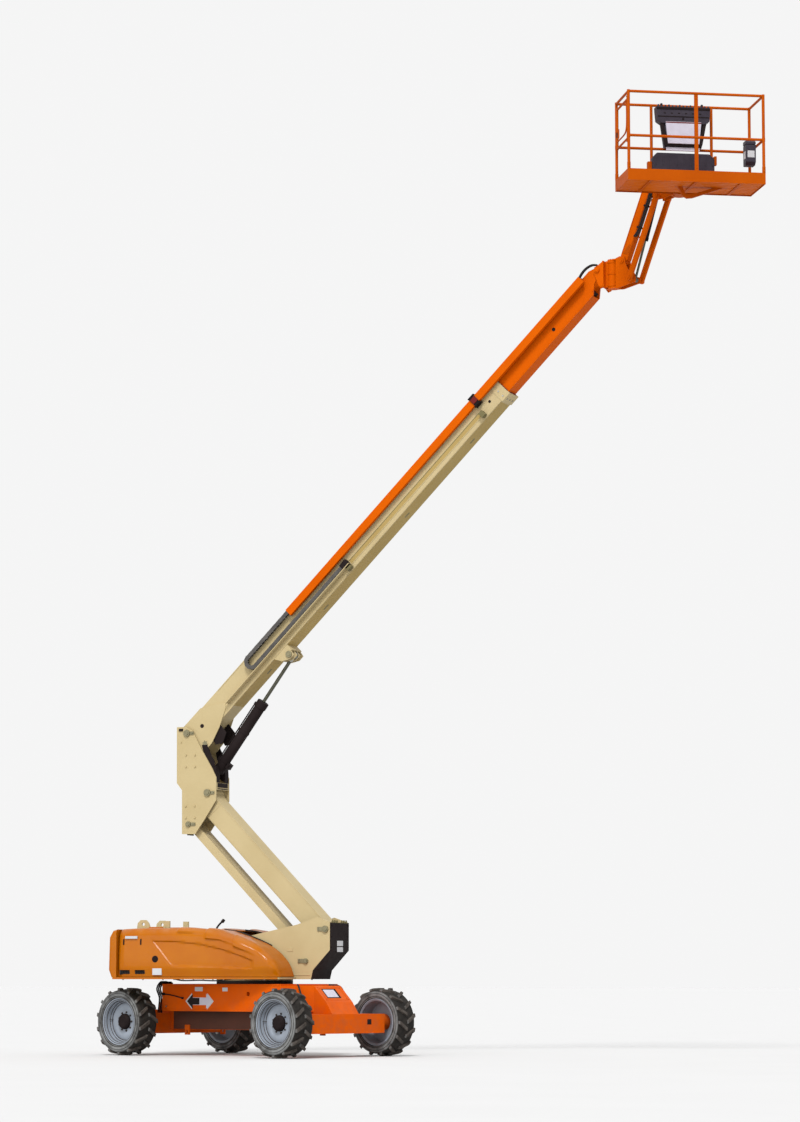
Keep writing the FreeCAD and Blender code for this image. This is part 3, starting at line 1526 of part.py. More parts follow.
support_neck = box(
    f"{ROTATOR_X} - rotator_radius - 26",
    f"{ROTATOR_X}",
    f"10 - {EAR_OUT}",
    f"{EAR_OUT} - 10",
    ROTOR_LOW,
    ROTOR_HIGH,
)
support_wall = box(
    f"{ROTATOR_X} - rotator_radius - 26",
    f"{ROTATOR_X} - rotator_radius - 10",
    f"-{EAR_OUT}",
    EAR_OUT,
    ROTOR_LOW,
    ROTOR_HIGH,
)
rotator = bar("z", ROTOR_LOW, ROTOR_HIGH, (f"{ROTATOR_X}", "0"), "rotator_radius")
head_pin = bar("y", f"-{EAR_OUT} - 10", f"{EAR_OUT} + 10", (HEAD_X, HEAD_Z), "jib_pin_radius")
foot_pin = bar("y", f"-{LINK_OUT} - 8", f"{LINK_OUT} + 8", (FOOT_X, FOOT_Z), "jib_pin_radius")
node(
    "platform_support",
    "jib",
    fuse(support_ear, mirrored(support_ear), support_neck, support_wall, rotator, head_pin, foot_pin),
)

NEAR = "(-platform_inner - platform_depth)"
FAR = "(-platform_inner)"
END = "platform_half_length"
mount_wall = box("-110", "110", f"{FAR}", "-rotator_radius - 20", "16", "390")
mount_plates = []
for plate_low in ("16", "364"):
    mount_plates.append(bar("z", plate_low, f"{plate_low} + 20", ("0", "0"), "rotator_radius - 5"))
    mount_plates.append(box("-80", "80", "-rotator_radius - 30", "0", plate_low, f"{plate_low} + 20"))
node("platform_mount", "platform", fuse(mount_wall, *mount_plates))

deck_plate = box(f"4 - {END}", f"{END} - 4", f"{NEAR} + 4", f"{FAR} - 4", "26", "34")
toes = [
    box(f"-{END}", END, NEAR, f"{NEAR} + 8", "0", "toe_height"),
    box(f"-{END}", END, f"{FAR} - 8", FAR, "0", "toe_height"),
    box(f"{END} - 8", END, NEAR, FAR, "0", "toe_height"),
    box(f"-{END}", f"8 - {END}", NEAR, FAR, "0", "toe_height"),
]
cross_bars = [box(f"{spot} - 20", f"{spot} + 20", NEAR, FAR, "0", "30") for spot in ("-600", "0", "600")]
BELOW = [
    ("-170", "20"),
    ("-105", "-105"),
    ("-50", "-140"),
    ("30", "-132"),
    ("470", "20"),
    ("350", "20"),
    ("22", "-84"),
    ("-40", "-90"),
    ("-74", "-66"),
    ("-116", "20"),
]
pipe_mid = f"(({NEAR} + {FAR}) / 2)"
pipe_below = side_plate(BELOW, f"{pipe_mid} - 25", f"{pipe_mid} + 25")
pipe_seat = box("-200", "500", f"{pipe_mid} - 30", f"{pipe_mid} + 30", "10", "30")
node("platform_floor", "platform", fuse(deck_plate, *toes, *cross_bars, pipe_below, pipe_seat))

RAIL_NEAR = f"({NEAR} + rail_radius)"
RAIL_FAR = f"({FAR} - rail_radius)"
RAIL_END = "(platform_half_length - rail_radius)"
TOP = "(rail_height - rail_radius)"
rails = []
for rail_z in (TOP, "mid_rail_height"):
    rails.append(bar("x", f"-{RAIL_END}", RAIL_END, (RAIL_NEAR, rail_z), "rail_radius"))
    rails.append(bar("x", f"-{RAIL_END}", RAIL_END, (RAIL_FAR, rail_z), "rail_radius"))
    rails.append(bar("y", RAIL_NEAR, RAIL_FAR, (RAIL_END, rail_z), "end_rail_radius"))
rails.append(bar("y", RAIL_NEAR, RAIL_FAR, (f"-{RAIL_END}", TOP), "end_rail_radius"))
for post_x in (f"-{RAIL_END}", RAIL_END):
    for post_y in (RAIL_NEAR, RAIL_FAR):
        rails.append(
            bar("z", "toe_height", f"{TOP} + end_rail_radius + 2", (post_x, post_y), "post_radius")
        )
rails.append(box("-25", "25", f"{NEAR} + 10", f"{NEAR} + 26", "toe_height", TOP))
for post_x in ("-430", "380"):
    rails.append(bar("z", "toe_height", TOP, (post_x, RAIL_FAR), "post_radius"))
GATE_X = f"(-{RAIL_END})"
GATE_POST_Y = f"({RAIL_NEAR} + gate_inset)"
GATE_FREE_Y = f"({RAIL_FAR} - gate_inset)"
GATE_TUBE = "(rail_radius - 3)"
GATE_LOW = "(mid_rail_height - gate_low_drop)"
GATE_HIGH = "(rail_height - gate_high_drop)"
GATE_PIN = f"({GATE_TUBE} - 5)"
GATE_OVER = f"({GATE_TUBE} + gate_overrun)"
hinges = [
    box(
        f"{GATE_X} - 14", f"{GATE_X} + 14", RAIL_NEAR, f"{GATE_POST_Y} + 24", hinge_low, f"{hinge_low} + 16"
    )
    for hinge_low in (f"{GATE_LOW} - gate_pin_reach + 6", f"{GATE_HIGH} + gate_pin_reach - 22")
]
hinge_bore = bar(
    "z",
    f"{GATE_LOW} - gate_pin_reach - 10",
    f"{GATE_HIGH} + gate_pin_reach + 10",
    (GATE_X, GATE_POST_Y),
    f"{GATE_PIN} + running_gap",
)
node("platform_rails", "platform", cut(fuse(*rails, *hinges), hinge_bore))

gate = fuse(
    bar("y", GATE_POST_Y, GATE_FREE_Y, (GATE_X, GATE_LOW), f"{GATE_TUBE} - 1"),
    bar("y", GATE_POST_Y, GATE_FREE_Y, (GATE_X, GATE_HIGH), f"{GATE_TUBE} - 1"),
    bar("z", f"{GATE_LOW} - {GATE_OVER}", f"{GATE_HIGH} + {GATE_OVER}", (GATE_X, GATE_POST_Y), GATE_TUBE),
    bar(
        "z",
        f"{GATE_LOW} - gate_pin_reach",
        f"{GATE_HIGH} + gate_pin_reach",
        (GATE_X, GATE_POST_Y),
        GATE_PIN,
    ),
    bar("z", f"{GATE_LOW} - {GATE_OVER}", f"{GATE_HIGH} + {GATE_OVER}", (GATE_X, GATE_FREE_Y), GATE_TUBE),
)
node("platform_gate", "platform", gate)

CONSOLE_HEAD = [
    ("-400", "1125"),
    ("-385", "940"),
    ("-330", "900"),
    ("260", "900"),
    ("315", "940"),
    ("330", "1125"),
]
CONSOLE_NECK = [
    ("-330", "910"),
    ("-285", "585"),
    ("215", "585"),
    ("260", "910"),
]
RAIL_FACE = "(2 * rail_radius + soft_gap)"
console_head = side_plate(CONSOLE_HEAD, f"{FAR} - 190", f"{FAR} - 50")
console_neck = side_plate(CONSOLE_NECK, f"{FAR} - 150", f"{FAR} - 70")
teeth = [
    box(f"{start}", f"{start} + 24", f"{FAR} - 176", f"{FAR} - 150", "1120", "rail_height - 40")
    for start in range(-380, 300, 48)
]
hangers = [
    box(hanger_x, f"{hanger_x} + 50", f"{FAR} - 60", f"{FAR} - 6", "1060", f"rail_height - {RAIL_FACE}")
    for hanger_x in ("-290", "200")
]
node("control_console", "platform", fuse(console_head, console_neck, *teeth, *hangers))
POST_FACE = "(rail_radius + post_radius + soft_gap)"
power_box = box("-445", "395", f"{FAR} - 130", f"{FAR} - {POST_FACE}", "170", "520")
node("platform_power_box", "platform", power_box)
END_RAIL_FACE = "(rail_radius + end_rail_radius + soft_gap)"
tool_box = box(f"{END} - 170", f"{END} - {END_RAIL_FACE}", f"{FAR} - 420", f"{FAR} - 260", "330", "660")
node("tool_box", "platform", tool_box)

# ---------------------------------------------------------------------------
# Recompute, check and write
# ---------------------------------------------------------------------------
doc.recompute()
faults = [
    item.Name + " " + item.Label for item in doc.Objects if "Invalid" in item.State or "Error" in item.State
]
if faults:
    raise RuntimeError("failed objects: " + ", ".join(faults))
os.makedirs("parts", exist_ok=True)
whole_box = FreeCAD.BoundBox()
for name, item in NODES.items():
    shape = item.Shape
    if shape.isNull() or not shape.isValid() or shape.Volume <= 0 or not shape.Solids:
        raise RuntimeError(f"{name} has no sound shape")
    whole_box.add(shape.BoundBox)
    shape.exportStep(f"parts/{name}.step")
    print(f"{name}: {len(shape.Solids)} solids, {shape.Volume / 1e9:.5f} m3")
print("nodes", len(NODES), "box", whole_box)
print("middle of the footprint", whole_box.Center.x, whole_box.Center.y, "lowest", whole_box.ZMin)
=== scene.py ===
"""Articulating boom lift, dressed for display on its packed construction model."""
import json
import logging
import math
from dataclasses import dataclass, field
from enum import Enum
from typing import Iterable, Sequence

import bmesh
import bpy
from mathutils import Matrix, Vector


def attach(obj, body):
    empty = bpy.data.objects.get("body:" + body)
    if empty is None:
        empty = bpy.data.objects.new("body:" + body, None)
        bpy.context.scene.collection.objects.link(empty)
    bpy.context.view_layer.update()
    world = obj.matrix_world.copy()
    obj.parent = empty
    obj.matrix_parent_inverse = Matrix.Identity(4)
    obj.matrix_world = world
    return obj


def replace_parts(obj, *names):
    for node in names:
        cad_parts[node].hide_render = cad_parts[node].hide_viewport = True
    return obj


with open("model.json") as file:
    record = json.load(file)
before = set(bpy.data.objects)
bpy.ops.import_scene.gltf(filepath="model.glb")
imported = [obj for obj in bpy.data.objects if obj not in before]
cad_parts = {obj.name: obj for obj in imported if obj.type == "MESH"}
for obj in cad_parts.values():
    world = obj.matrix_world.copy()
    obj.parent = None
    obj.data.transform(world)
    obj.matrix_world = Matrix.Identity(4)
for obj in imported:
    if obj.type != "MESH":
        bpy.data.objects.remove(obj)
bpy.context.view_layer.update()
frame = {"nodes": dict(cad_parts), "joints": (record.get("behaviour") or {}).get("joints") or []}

LOG = logging.getLogger("boom_lift")
Point = tuple[float, float, float]
Flat = tuple[float, float]
Colour = tuple[float, float, float]
Face = tuple[float, float, float, float]
SIDES = (1, -1)
UP, DOWN, OUTWARD, RIGHT = (0, 0, 1), (0, 0, -1), (0, 1, 0), (0, -1, 0)
ORIGIN, AHEAD = (0, 0, 0), (1, 0, 0)
JOINTS = {joint["name"]: joint for joint in frame["joints"]}


class Plane(Enum):
    """Plane in which a flat outline is drawn."""

    SIDE = "xz"
    FLOOR = "xy"
    CROSS = "yz"


def joint_place(name: str) -> Vector:
    """Return where a joint's pin stands, in metres."""
    return Vector(JOINTS[name]["pos_m"])


def turned_place(origin: Sequence[float], axis: str, degrees: float) -> Matrix:
    """Return a frame at origin, turned about one of its axes.

    Args:
        origin: where the frame's own origin stands.
        axis: the letter of the axis it is turned about.
        degrees: how far it is turned.

    Returns:
        The frame as a matrix.
    """
    return Matrix.Translation(Vector(origin)) @ Matrix.Rotation(math.radians(degrees), 4, axis)


SWING_X = joint_place("turntable_swing").x
MACHINE = Matrix.Translation((SWING_X, 0.0, 0.0))
SLEW = -20.5
CHASSIS = turned_place((SWING_X, 0.0, 0.0), "Z", SLEW)
TOWER_ANGLE = 133.95
TOWER = turned_place(joint_place("tower_lift"), "Y", -TOWER_ANGLE)
LINK = turned_place(joint_place("tension_link_turn"), "Y", -TOWER_ANGLE)
UPRIGHT = Matrix.Translation(joint_place("upright_level"))
BOOM_ANGLE = 45.4
BOOM = turned_place(joint_place("boom_lift"), "Y", -BOOM_ANGLE)
JIB_TURN = -15.0
JIB_FOOT = joint_place("jib_swing")
JIB = turned_place((JIB_FOOT.x, JIB_FOOT.y, 0.0), "Z", JIB_TURN)
JIB_ANGLE = 67.55
JIB_BEAM = turned_place(joint_place("jib_lift"), "Z", JIB_TURN) @ Matrix.Rotation(
    math.radians(-JIB_ANGLE), 4, "Y"
)
TIP = Matrix.Translation((JIB_FOOT.x, 0.0, 0.0))
PLATFORM_TURN = 31.0
PLATFORM = turned_place(joint_place("platform_rotate"), "Z", PLATFORM_TURN)


# ---------------------------------------------------------------------------
# Finishes
# ---------------------------------------------------------------------------
class Graph:
    """Material under construction, with its shader at hand."""

    def __init__(self, name: str) -> None:
        """Start an empty material called name."""
        self.material = bpy.data.materials.new(name)
        self.material.use_nodes = True
        self.nodes = self.material.node_tree.nodes
        self.links = self.material.node_tree.links
        self.shader = self.nodes["Principled BSDF"]
        self.place = self.add("ShaderNodeTexCoord").outputs["Object"]

    def add(self, kind: str, **settings: object) -> bpy.types.Node:
        """Add a node of one kind and set its properties and its inputs by name.

        Args:
            kind: the node's type name.
            settings: values for its properties, or for the inputs whose names match.

        Returns:
            The new node.
        """
        node = self.nodes.new(kind)
        for key, value in settings.items():
            if hasattr(node, key):
                setattr(node, key, value)
            else:
                self.feed(node.inputs[key.replace("_", " ")], value)
        return node

    def feed(self, socket: bpy.types.NodeSocket, value: object) -> None:
        """Put a value on a socket, or link another node's output to it."""
        if isinstance(value, bpy.types.NodeSocket):
            self.links.new(value, socket)
        else:
            socket.default_value = value

    def noise(self, scale: float, detail: float = 3.0, rough: float = 0.55) -> bpy.types.NodeSocket:
        """Return cloudy grey values over the surface at one scale per metre."""
        cloud = self.add(
            "ShaderNodeTexNoise", Vector=self.place, Scale=scale, Detail=detail, Roughness=rough
        )
        return cloud.outputs["Fac"]

    def ramp(self, value: bpy.types.NodeSocket, low: float, high: float) -> bpy.types.NodeSocket:
        """Stretch a grey value so that low becomes 0 and high becomes 1."""
        span = self.add("ShaderNodeMapRange", clamp=True)
        self.feed(span.inputs["Value"], value)
        self.feed(span.inputs["From Min"], low)
        self.feed(span.inputs["From Max"], high)
        return span.outputs["Result"]

    def times(self, first: object, second: object) -> bpy.types.NodeSocket:
        """Return the product of two values."""
        product = self.add("ShaderNodeMath", operation="MULTIPLY")
        self.feed(product.inputs[0], first)
        self.feed(product.inputs[1], second)
        return product.outputs[0]

    def mix(self, share: object, first: object, second: object) -> bpy.types.NodeSocket:
        """Return a colour between two, with share of the second."""
        blend = self.add("ShaderNodeMix", data_type="RGBA")
        self.feed(blend.inputs[0], share)
        for index, colour in ((6, first), (7, second)):
            self.feed(blend.inputs[index], (*colour, 1.0) if isinstance(colour, tuple) else colour)
        return blend.outputs[2]

    def upward(self) -> bpy.types.NodeSocket:
        """Return how far the surface faces up, from 0 to 1."""
        facing = self.add("ShaderNodeSeparateXYZ")
        self.links.new(self.add("ShaderNodeNewGeometry").outputs["Normal"], facing.inputs[0])
        return self.ramp(facing.outputs["Z"], 0.25, 0.95)

    def height(self, low: float, high: float) -> bpy.types.NodeSocket:
        """Return 1 at height low above the ground, fading to 0 at height high."""
        split = self.add("ShaderNodeSeparateXYZ")
        self.links.new(self.place, split.inputs[0])
        return self.ramp(split.outputs["Z"], high, low)

    def bump(self, value: bpy.types.NodeSocket, depth: float, strength: float = 0.4) -> None:
        """Raise the surface by a grey value."""
        relief = self.add("ShaderNodeBump", Height=value, Distance=depth, Strength=strength)
        self.links.new(relief.outputs["Normal"], self.shader.inputs["Normal"])


@dataclass(frozen=True)
class Paint:
    """Sprayed enamel: clouded colour, pale dust on upward faces that is partly a painted highlight on tops,
    darkening low down that is partly grime and partly painted shade, and small chips.
    """

    name: str
    colour: Colour
    worn: Colour
    rough: float = 0.38
    coat: float = 0.35
    # dust: share of pale colour on upward faces, partly real dust and partly a painted highlight on tops.
    dust: float = 0.25
    grime_and_low_shade: float = 0.0
    slot: str = "orange_paint"
    gloss: float = 0.12

    def make(self) -> bpy.types.Material:
        """Build the material."""
        graph = Graph(self.name)
        cloud = graph.ramp(graph.noise(1.7, 5.0), 0.38, 0.68)
        body = graph.mix(cloud, self.colour, self.worn)
        # Pale colour where the surface faces up: partly dust, partly a painted highlight on the tops.
        settled_dust_and_top_light = graph.times(graph.upward(), graph.ramp(graph.noise(6.0, 6.0), 0.35, 0.75))
        body = graph.mix(graph.times(settled_dust_and_top_light, self.dust), body, (0.42, 0.36, 0.28))
        # Darker towards the bottom: partly grime, partly painted shade where the low parts stand in shadow.
        if self.grime_and_low_shade:
            low_grime_and_shade = graph.times(graph.height(0.35, 1.0), graph.ramp(graph.noise(9.0, 7.0), 0.4, 0.7))
            body = graph.mix(graph.times(low_grime_and_shade, self.grime_and_low_shade), body, (0.10, 0.075, 0.055))
        chips = graph.ramp(graph.noise(55.0, 8.0, 0.7), 0.735, 0.755)
        body = graph.mix(graph.times(chips, 0.55), body, (0.09, 0.07, 0.06))
        graph.links.new(body, graph.shader.inputs["Base Color"])
        sheen = graph.add("ShaderNodeMapRange")
        graph.feed(sheen.inputs["Value"], graph.noise(14.0, 4.0))
        graph.feed(sheen.inputs["To Min"], self.rough - 0.08)
        graph.feed(sheen.inputs["To Max"], self.rough + 0.12)
        graph.links.new(sheen.outputs["Result"], graph.shader.inputs["Roughness"])
        graph.shader.inputs["Specular IOR Level"].default_value = self.gloss
        graph.shader.inputs["Coat Weight"].default_value = self.coat
        graph.shader.inputs["Coat Roughness"].default_value = 0.13
        graph.bump(graph.noise(240.0, 2.0), 0.0006, 0.25)
        return graph.material


@dataclass(frozen=True)
class Rubber:
    """Tyre or hose rubber with fine pores and dry dust; on tyres the sides take a lighter grey, partly dust
    and partly painted light.
    """

    name: str
    colour: Colour
    dusty: Colour
    dust: float = 0.6
    slot: str = "tyre"
    wall: Colour | None = None

    def make(self) -> bpy.types.Material:
        """Build the material, with the lighter wall colour, partly dust and partly painted light, where the
        surface faces along the axles.
        """
        graph = Graph(self.name)
        cloud = graph.times(graph.ramp(graph.noise(11.0, 7.0, 0.65), 0.35, 0.72), self.dust)
        body = graph.mix(cloud, self.colour, self.dusty)
        # Faces turned along the axles get a lighter grey: partly dust, partly painted light on the tyre's
        # sides.
        if self.wall:
            facing = graph.add("ShaderNodeVectorMath", operation="DOT_PRODUCT")
            graph.links.new(graph.add("ShaderNodeTexCoord").outputs["Normal"], facing.inputs[0])
            facing.inputs[1].default_value = CHASSIS.to_3x3() @ Vector((0, 1, 0))
            size = graph.add("ShaderNodeMath", operation="ABSOLUTE")
            graph.links.new(facing.outputs["Value"], size.inputs[0])
            share = graph.times(
                graph.ramp(size.outputs[0], 0.72, 0.96), graph.ramp(graph.noise(7.0, 5.0), 0.25, 0.60)
            )
            body = graph.mix(share, body, self.wall)
        graph.links.new(body, graph.shader.inputs["Base Color"])
        graph.shader.inputs["Roughness"].default_value = 0.82
        graph.shader.inputs["Specular IOR Level"].default_value = 0.25
        graph.bump(graph.noise(160.0, 5.0), 0.002, 0.5)
        return graph.material


@dataclass(frozen=True)
class Metal:
    """Bare or plated metal with fine scratches."""

    name: str
    colour: Colour
    rough: float
    grain: float = 180.0
    slot: str = "hard_chrome"

    def make(self) -> bpy.types.Material:
        """Build the material."""
        graph = Graph(self.name)
        dull = tuple(channel * 0.72 for channel in self.colour)
        body = graph.mix(graph.ramp(graph.noise(22.0, 6.0), 0.35, 0.75), self.colour, dull)
        graph.links.new(body, graph.shader.inputs["Base Color"])
        graph.shader.inputs["Metallic"].default_value = 0.9
        sheen = graph.add("ShaderNodeMapRange")
        graph.feed(sheen.inputs["Value"], graph.noise(self.grain, 3.0))
        graph.feed(sheen.inputs["To Min"], max(0.05, self.rough - 0.07))
        graph.feed(sheen.inputs["To Max"], self.rough + 0.1)
        graph.links.new(sheen.outputs["Result"], graph.shader.inputs["Roughness"])
        graph.bump(graph.noise(self.grain * 2.0, 2.0), 0.0003, 0.2)
        return graph.material


@dataclass(frozen=True)
class Moulding:
    """Moulded plastic with a fine leathery grain."""

    name: str
    colour: Colour
    worn: Colour
    rough: float = 0.55
    slot: str = "dark_plastic"

    def make(self) -> bpy.types.Material:
        """Build the material."""
        graph = Graph(self.name)
        cells = graph.add("ShaderNodeTexVoronoi", Vector=graph.place, Scale=420.0)
        body = graph.mix(graph.ramp(graph.noise(7.0, 5.0), 0.35, 0.75), self.colour, self.worn)
        graph.links.new(body, graph.shader.inputs["Base Color"])
        graph.shader.inputs["Roughness"].default_value = self.rough
        graph.shader.inputs["Specular IOR Level"].default_value = 0.25
        graph.bump(cells.outputs["Distance"], 0.0006, 0.35)
        return graph.material


class Finish(Enum):
    """Every finish on the machine."""

    HOOD = Paint(
        "hood_enamel", (0.410, 0.119, 0.0006), (0.371, 0.096, 0.0006), 0.30, 0.26, 0.22, gloss=0.02
    )
    ORANGE = Paint(
        "frame_enamel", (0.615, 0.0915, 0.0009), (0.545, 0.0725, 0.0009), 0.45, 0.0, 0.15, 0.3, gloss=0.03
    )
    FLY = Paint(
        "boom_orange_enamel", (0.56, 0.0924, 0.0008), (0.511, 0.0784, 0.0008), 0.40, 0.0, 0.08, gloss=0.012
    )
    CAGE = Paint(
        "platform_enamel", (0.408, 0.0707, 0.0011), (0.3563, 0.0571, 0.0011), 0.46, 0.0, 0.12, gloss=0.03
    )
    # A lighter orange than the platform's own paint, for the ridges under the floor: painted light on the
    # underside.
    FLOOR = Paint(
        "underfloor_painted_light", (0.546, 0.105, 0.0011), (0.462, 0.0819, 0.0011), 0.46, 0.0, 0.0, gloss=0.03
    )
    CREAM = Paint(
        "boom_cream_enamel", (0.4611, 0.3712, 0.203), (0.4234, 0.3364, 0.1769), 0.48, 0.03, 0.06,
        slot="cream_paint", gloss=0.05,
    )
    # Darker cream that stands for the shade in the side band's recess and under the boom: painted shade.
    BOOM_SHADE = Paint(
        "boom_painted_shade", (0.375, 0.270, 0.098), (0.340, 0.243, 0.088), 0.5, 0.0, 0.05,
        slot="cream_paint", gloss=0.04,
    )
    BLACK = Paint(
        "black_enamel", (0.013, 0.009, 0.009), (0.020, 0.0145, 0.0145), 0.6, 0.0, 0.03, slot="black_paint",
        gloss=0.04,
    )
    # Dark brown that stands for the shade on the recessed belly: painted shade.
    BELLY_SHADE = Paint(
        "painted_belly_shade", (0.0975, 0.0364, 0.0234), (0.065, 0.0286, 0.0195), 0.6, 0.0, 0.05,
        slot="orange_paint",
    )
    RIM = Paint(
        "rim_enamel", (0.279, 0.315, 0.367), (0.228, 0.252, 0.290), 0.42, 0.12, 0.10, 0.2, slot="rim_paint"
    )
    RED = Paint(
        "wear_pad_red", (0.13, 0.0091, 0.0078), (0.104, 0.0091, 0.0078), 0.5, 0.0, 0.1, slot="dark_plastic"
    )
    LABEL = Paint(
        "blank_label", (0.504, 0.511, 0.525), (0.448, 0.455, 0.469), 0.4, 0.05, 0.05, slot="dark_plastic"
    )
    # The carcass is darker than the lugs: partly painted shade in the grooves between the lugs, partly dust
    # on the lugs.
    TREAD = Rubber(
        "carcass_rubber_groove_shade", (0.0091, 0.0078, 0.0065), (0.039, 0.0325, 0.0273), 0.6, wall=(0.195, 0.1976, 0.195)
    )
    LUGS = Rubber(
        "lug_rubber", (0.0286, 0.0221, 0.0182), (0.1144, 0.0988, 0.0858), 0.8, wall=(0.1365, 0.1339, 0.13)
    )
    HOSE = Rubber("hose_rubber", (0.014, 0.013, 0.013), (0.035, 0.032, 0.028), 0.35, slot="dark_plastic")
    STEEL = Metal("machined_steel", (0.408, 0.396, 0.36), 0.40)
    PIN = Metal("plated_pin", (0.24, 0.216, 0.132), 0.42, slot="cast")
    CHROME = Metal("hard_chrome", (0.095, 0.095, 0.070), 0.24, 90.0, slot="hard_chrome")
    CAST = Paint(
        "cast_grey", (0.0468, 0.039, 0.0351), (0.0338, 0.0286, 0.026), 0.6, 0.0, 0.15, 0.3, slot="cast"
    )
    DARK = Moulding("console_plastic", (0.0242, 0.0187, 0.0297), (0.0352, 0.0286, 0.0407))
    PALE = Moulding("panel_plastic", (0.522, 0.5002, 0.58), (0.4495, 0.4277, 0.5002), 0.5)
    LINKS = Moulding(
        "link_plastic", (0.052, 0.0481, 0.0455), (0.0975, 0.0884, 0.0806), 0.5, slot="chain_plastic"
    )
    OLIVE = Paint(
        "pad_block_olive", (0.154, 0.133, 0.0588), (0.126, 0.105, 0.0476), 0.5, 0.0, 0.1, slot="cream_paint"
    )


class FinishShelf:
    """Materials made once and handed out again."""

    made: dict[Finish, bpy.types.Material] = {}

    @classmethod
    def take(cls, finish: Finish) -> bpy.types.Material:
        """Return the material of a finish."""
        if finish not in cls.made:
            cls.made[finish] = finish.value.make()
        return cls.made[finish]


# ---------------------------------------------------------------------------
# Shaping
# ---------------------------------------------------------------------------
def arc_points(centre: Flat, radius: float, start: float, end: float, steps: int) -> list[Flat]:
    """Return points along an arc.

    Args:
        centre: middle of the arc.
        radius: its radius.
        start: first angle in degrees.
        end: last angle in degrees.
        steps: how many runs the arc has.

    Returns:
        The points in order.
    """
    angles = (math.radians(start + (end - start) * step / steps) for step in range(steps + 1))
    return [
        (centre[0] + radius * math.cos(angle), centre[1] + radius * math.sin(angle)) for angle in angles
    ]


def smooth_path(points: Sequence[Point], steps: int = 8) -> list[Vector]:
    """Return points along a smooth line that passes through the given ones."""
    spots = [Vector(point) for point in points]
    if len(spots) < 3:
        return spots
    spots = [spots[0] * 2 - spots[1], *spots, spots[-1] * 2 - spots[-2]]
    line = []
    for index in range(1, len(spots) - 2):
        before, start, end, after = spots[index - 1 : index + 3]
        for step in range(steps):
            share = step / steps
            pull = (end - before) * share + (before * 2 - start * 5 + end * 4 - after) * share**2
            line.append(0.5 * (start * 2 + pull + (start * 3 - before - end * 3 + after) * share**3))
    line.append(spots[-2])
    return line


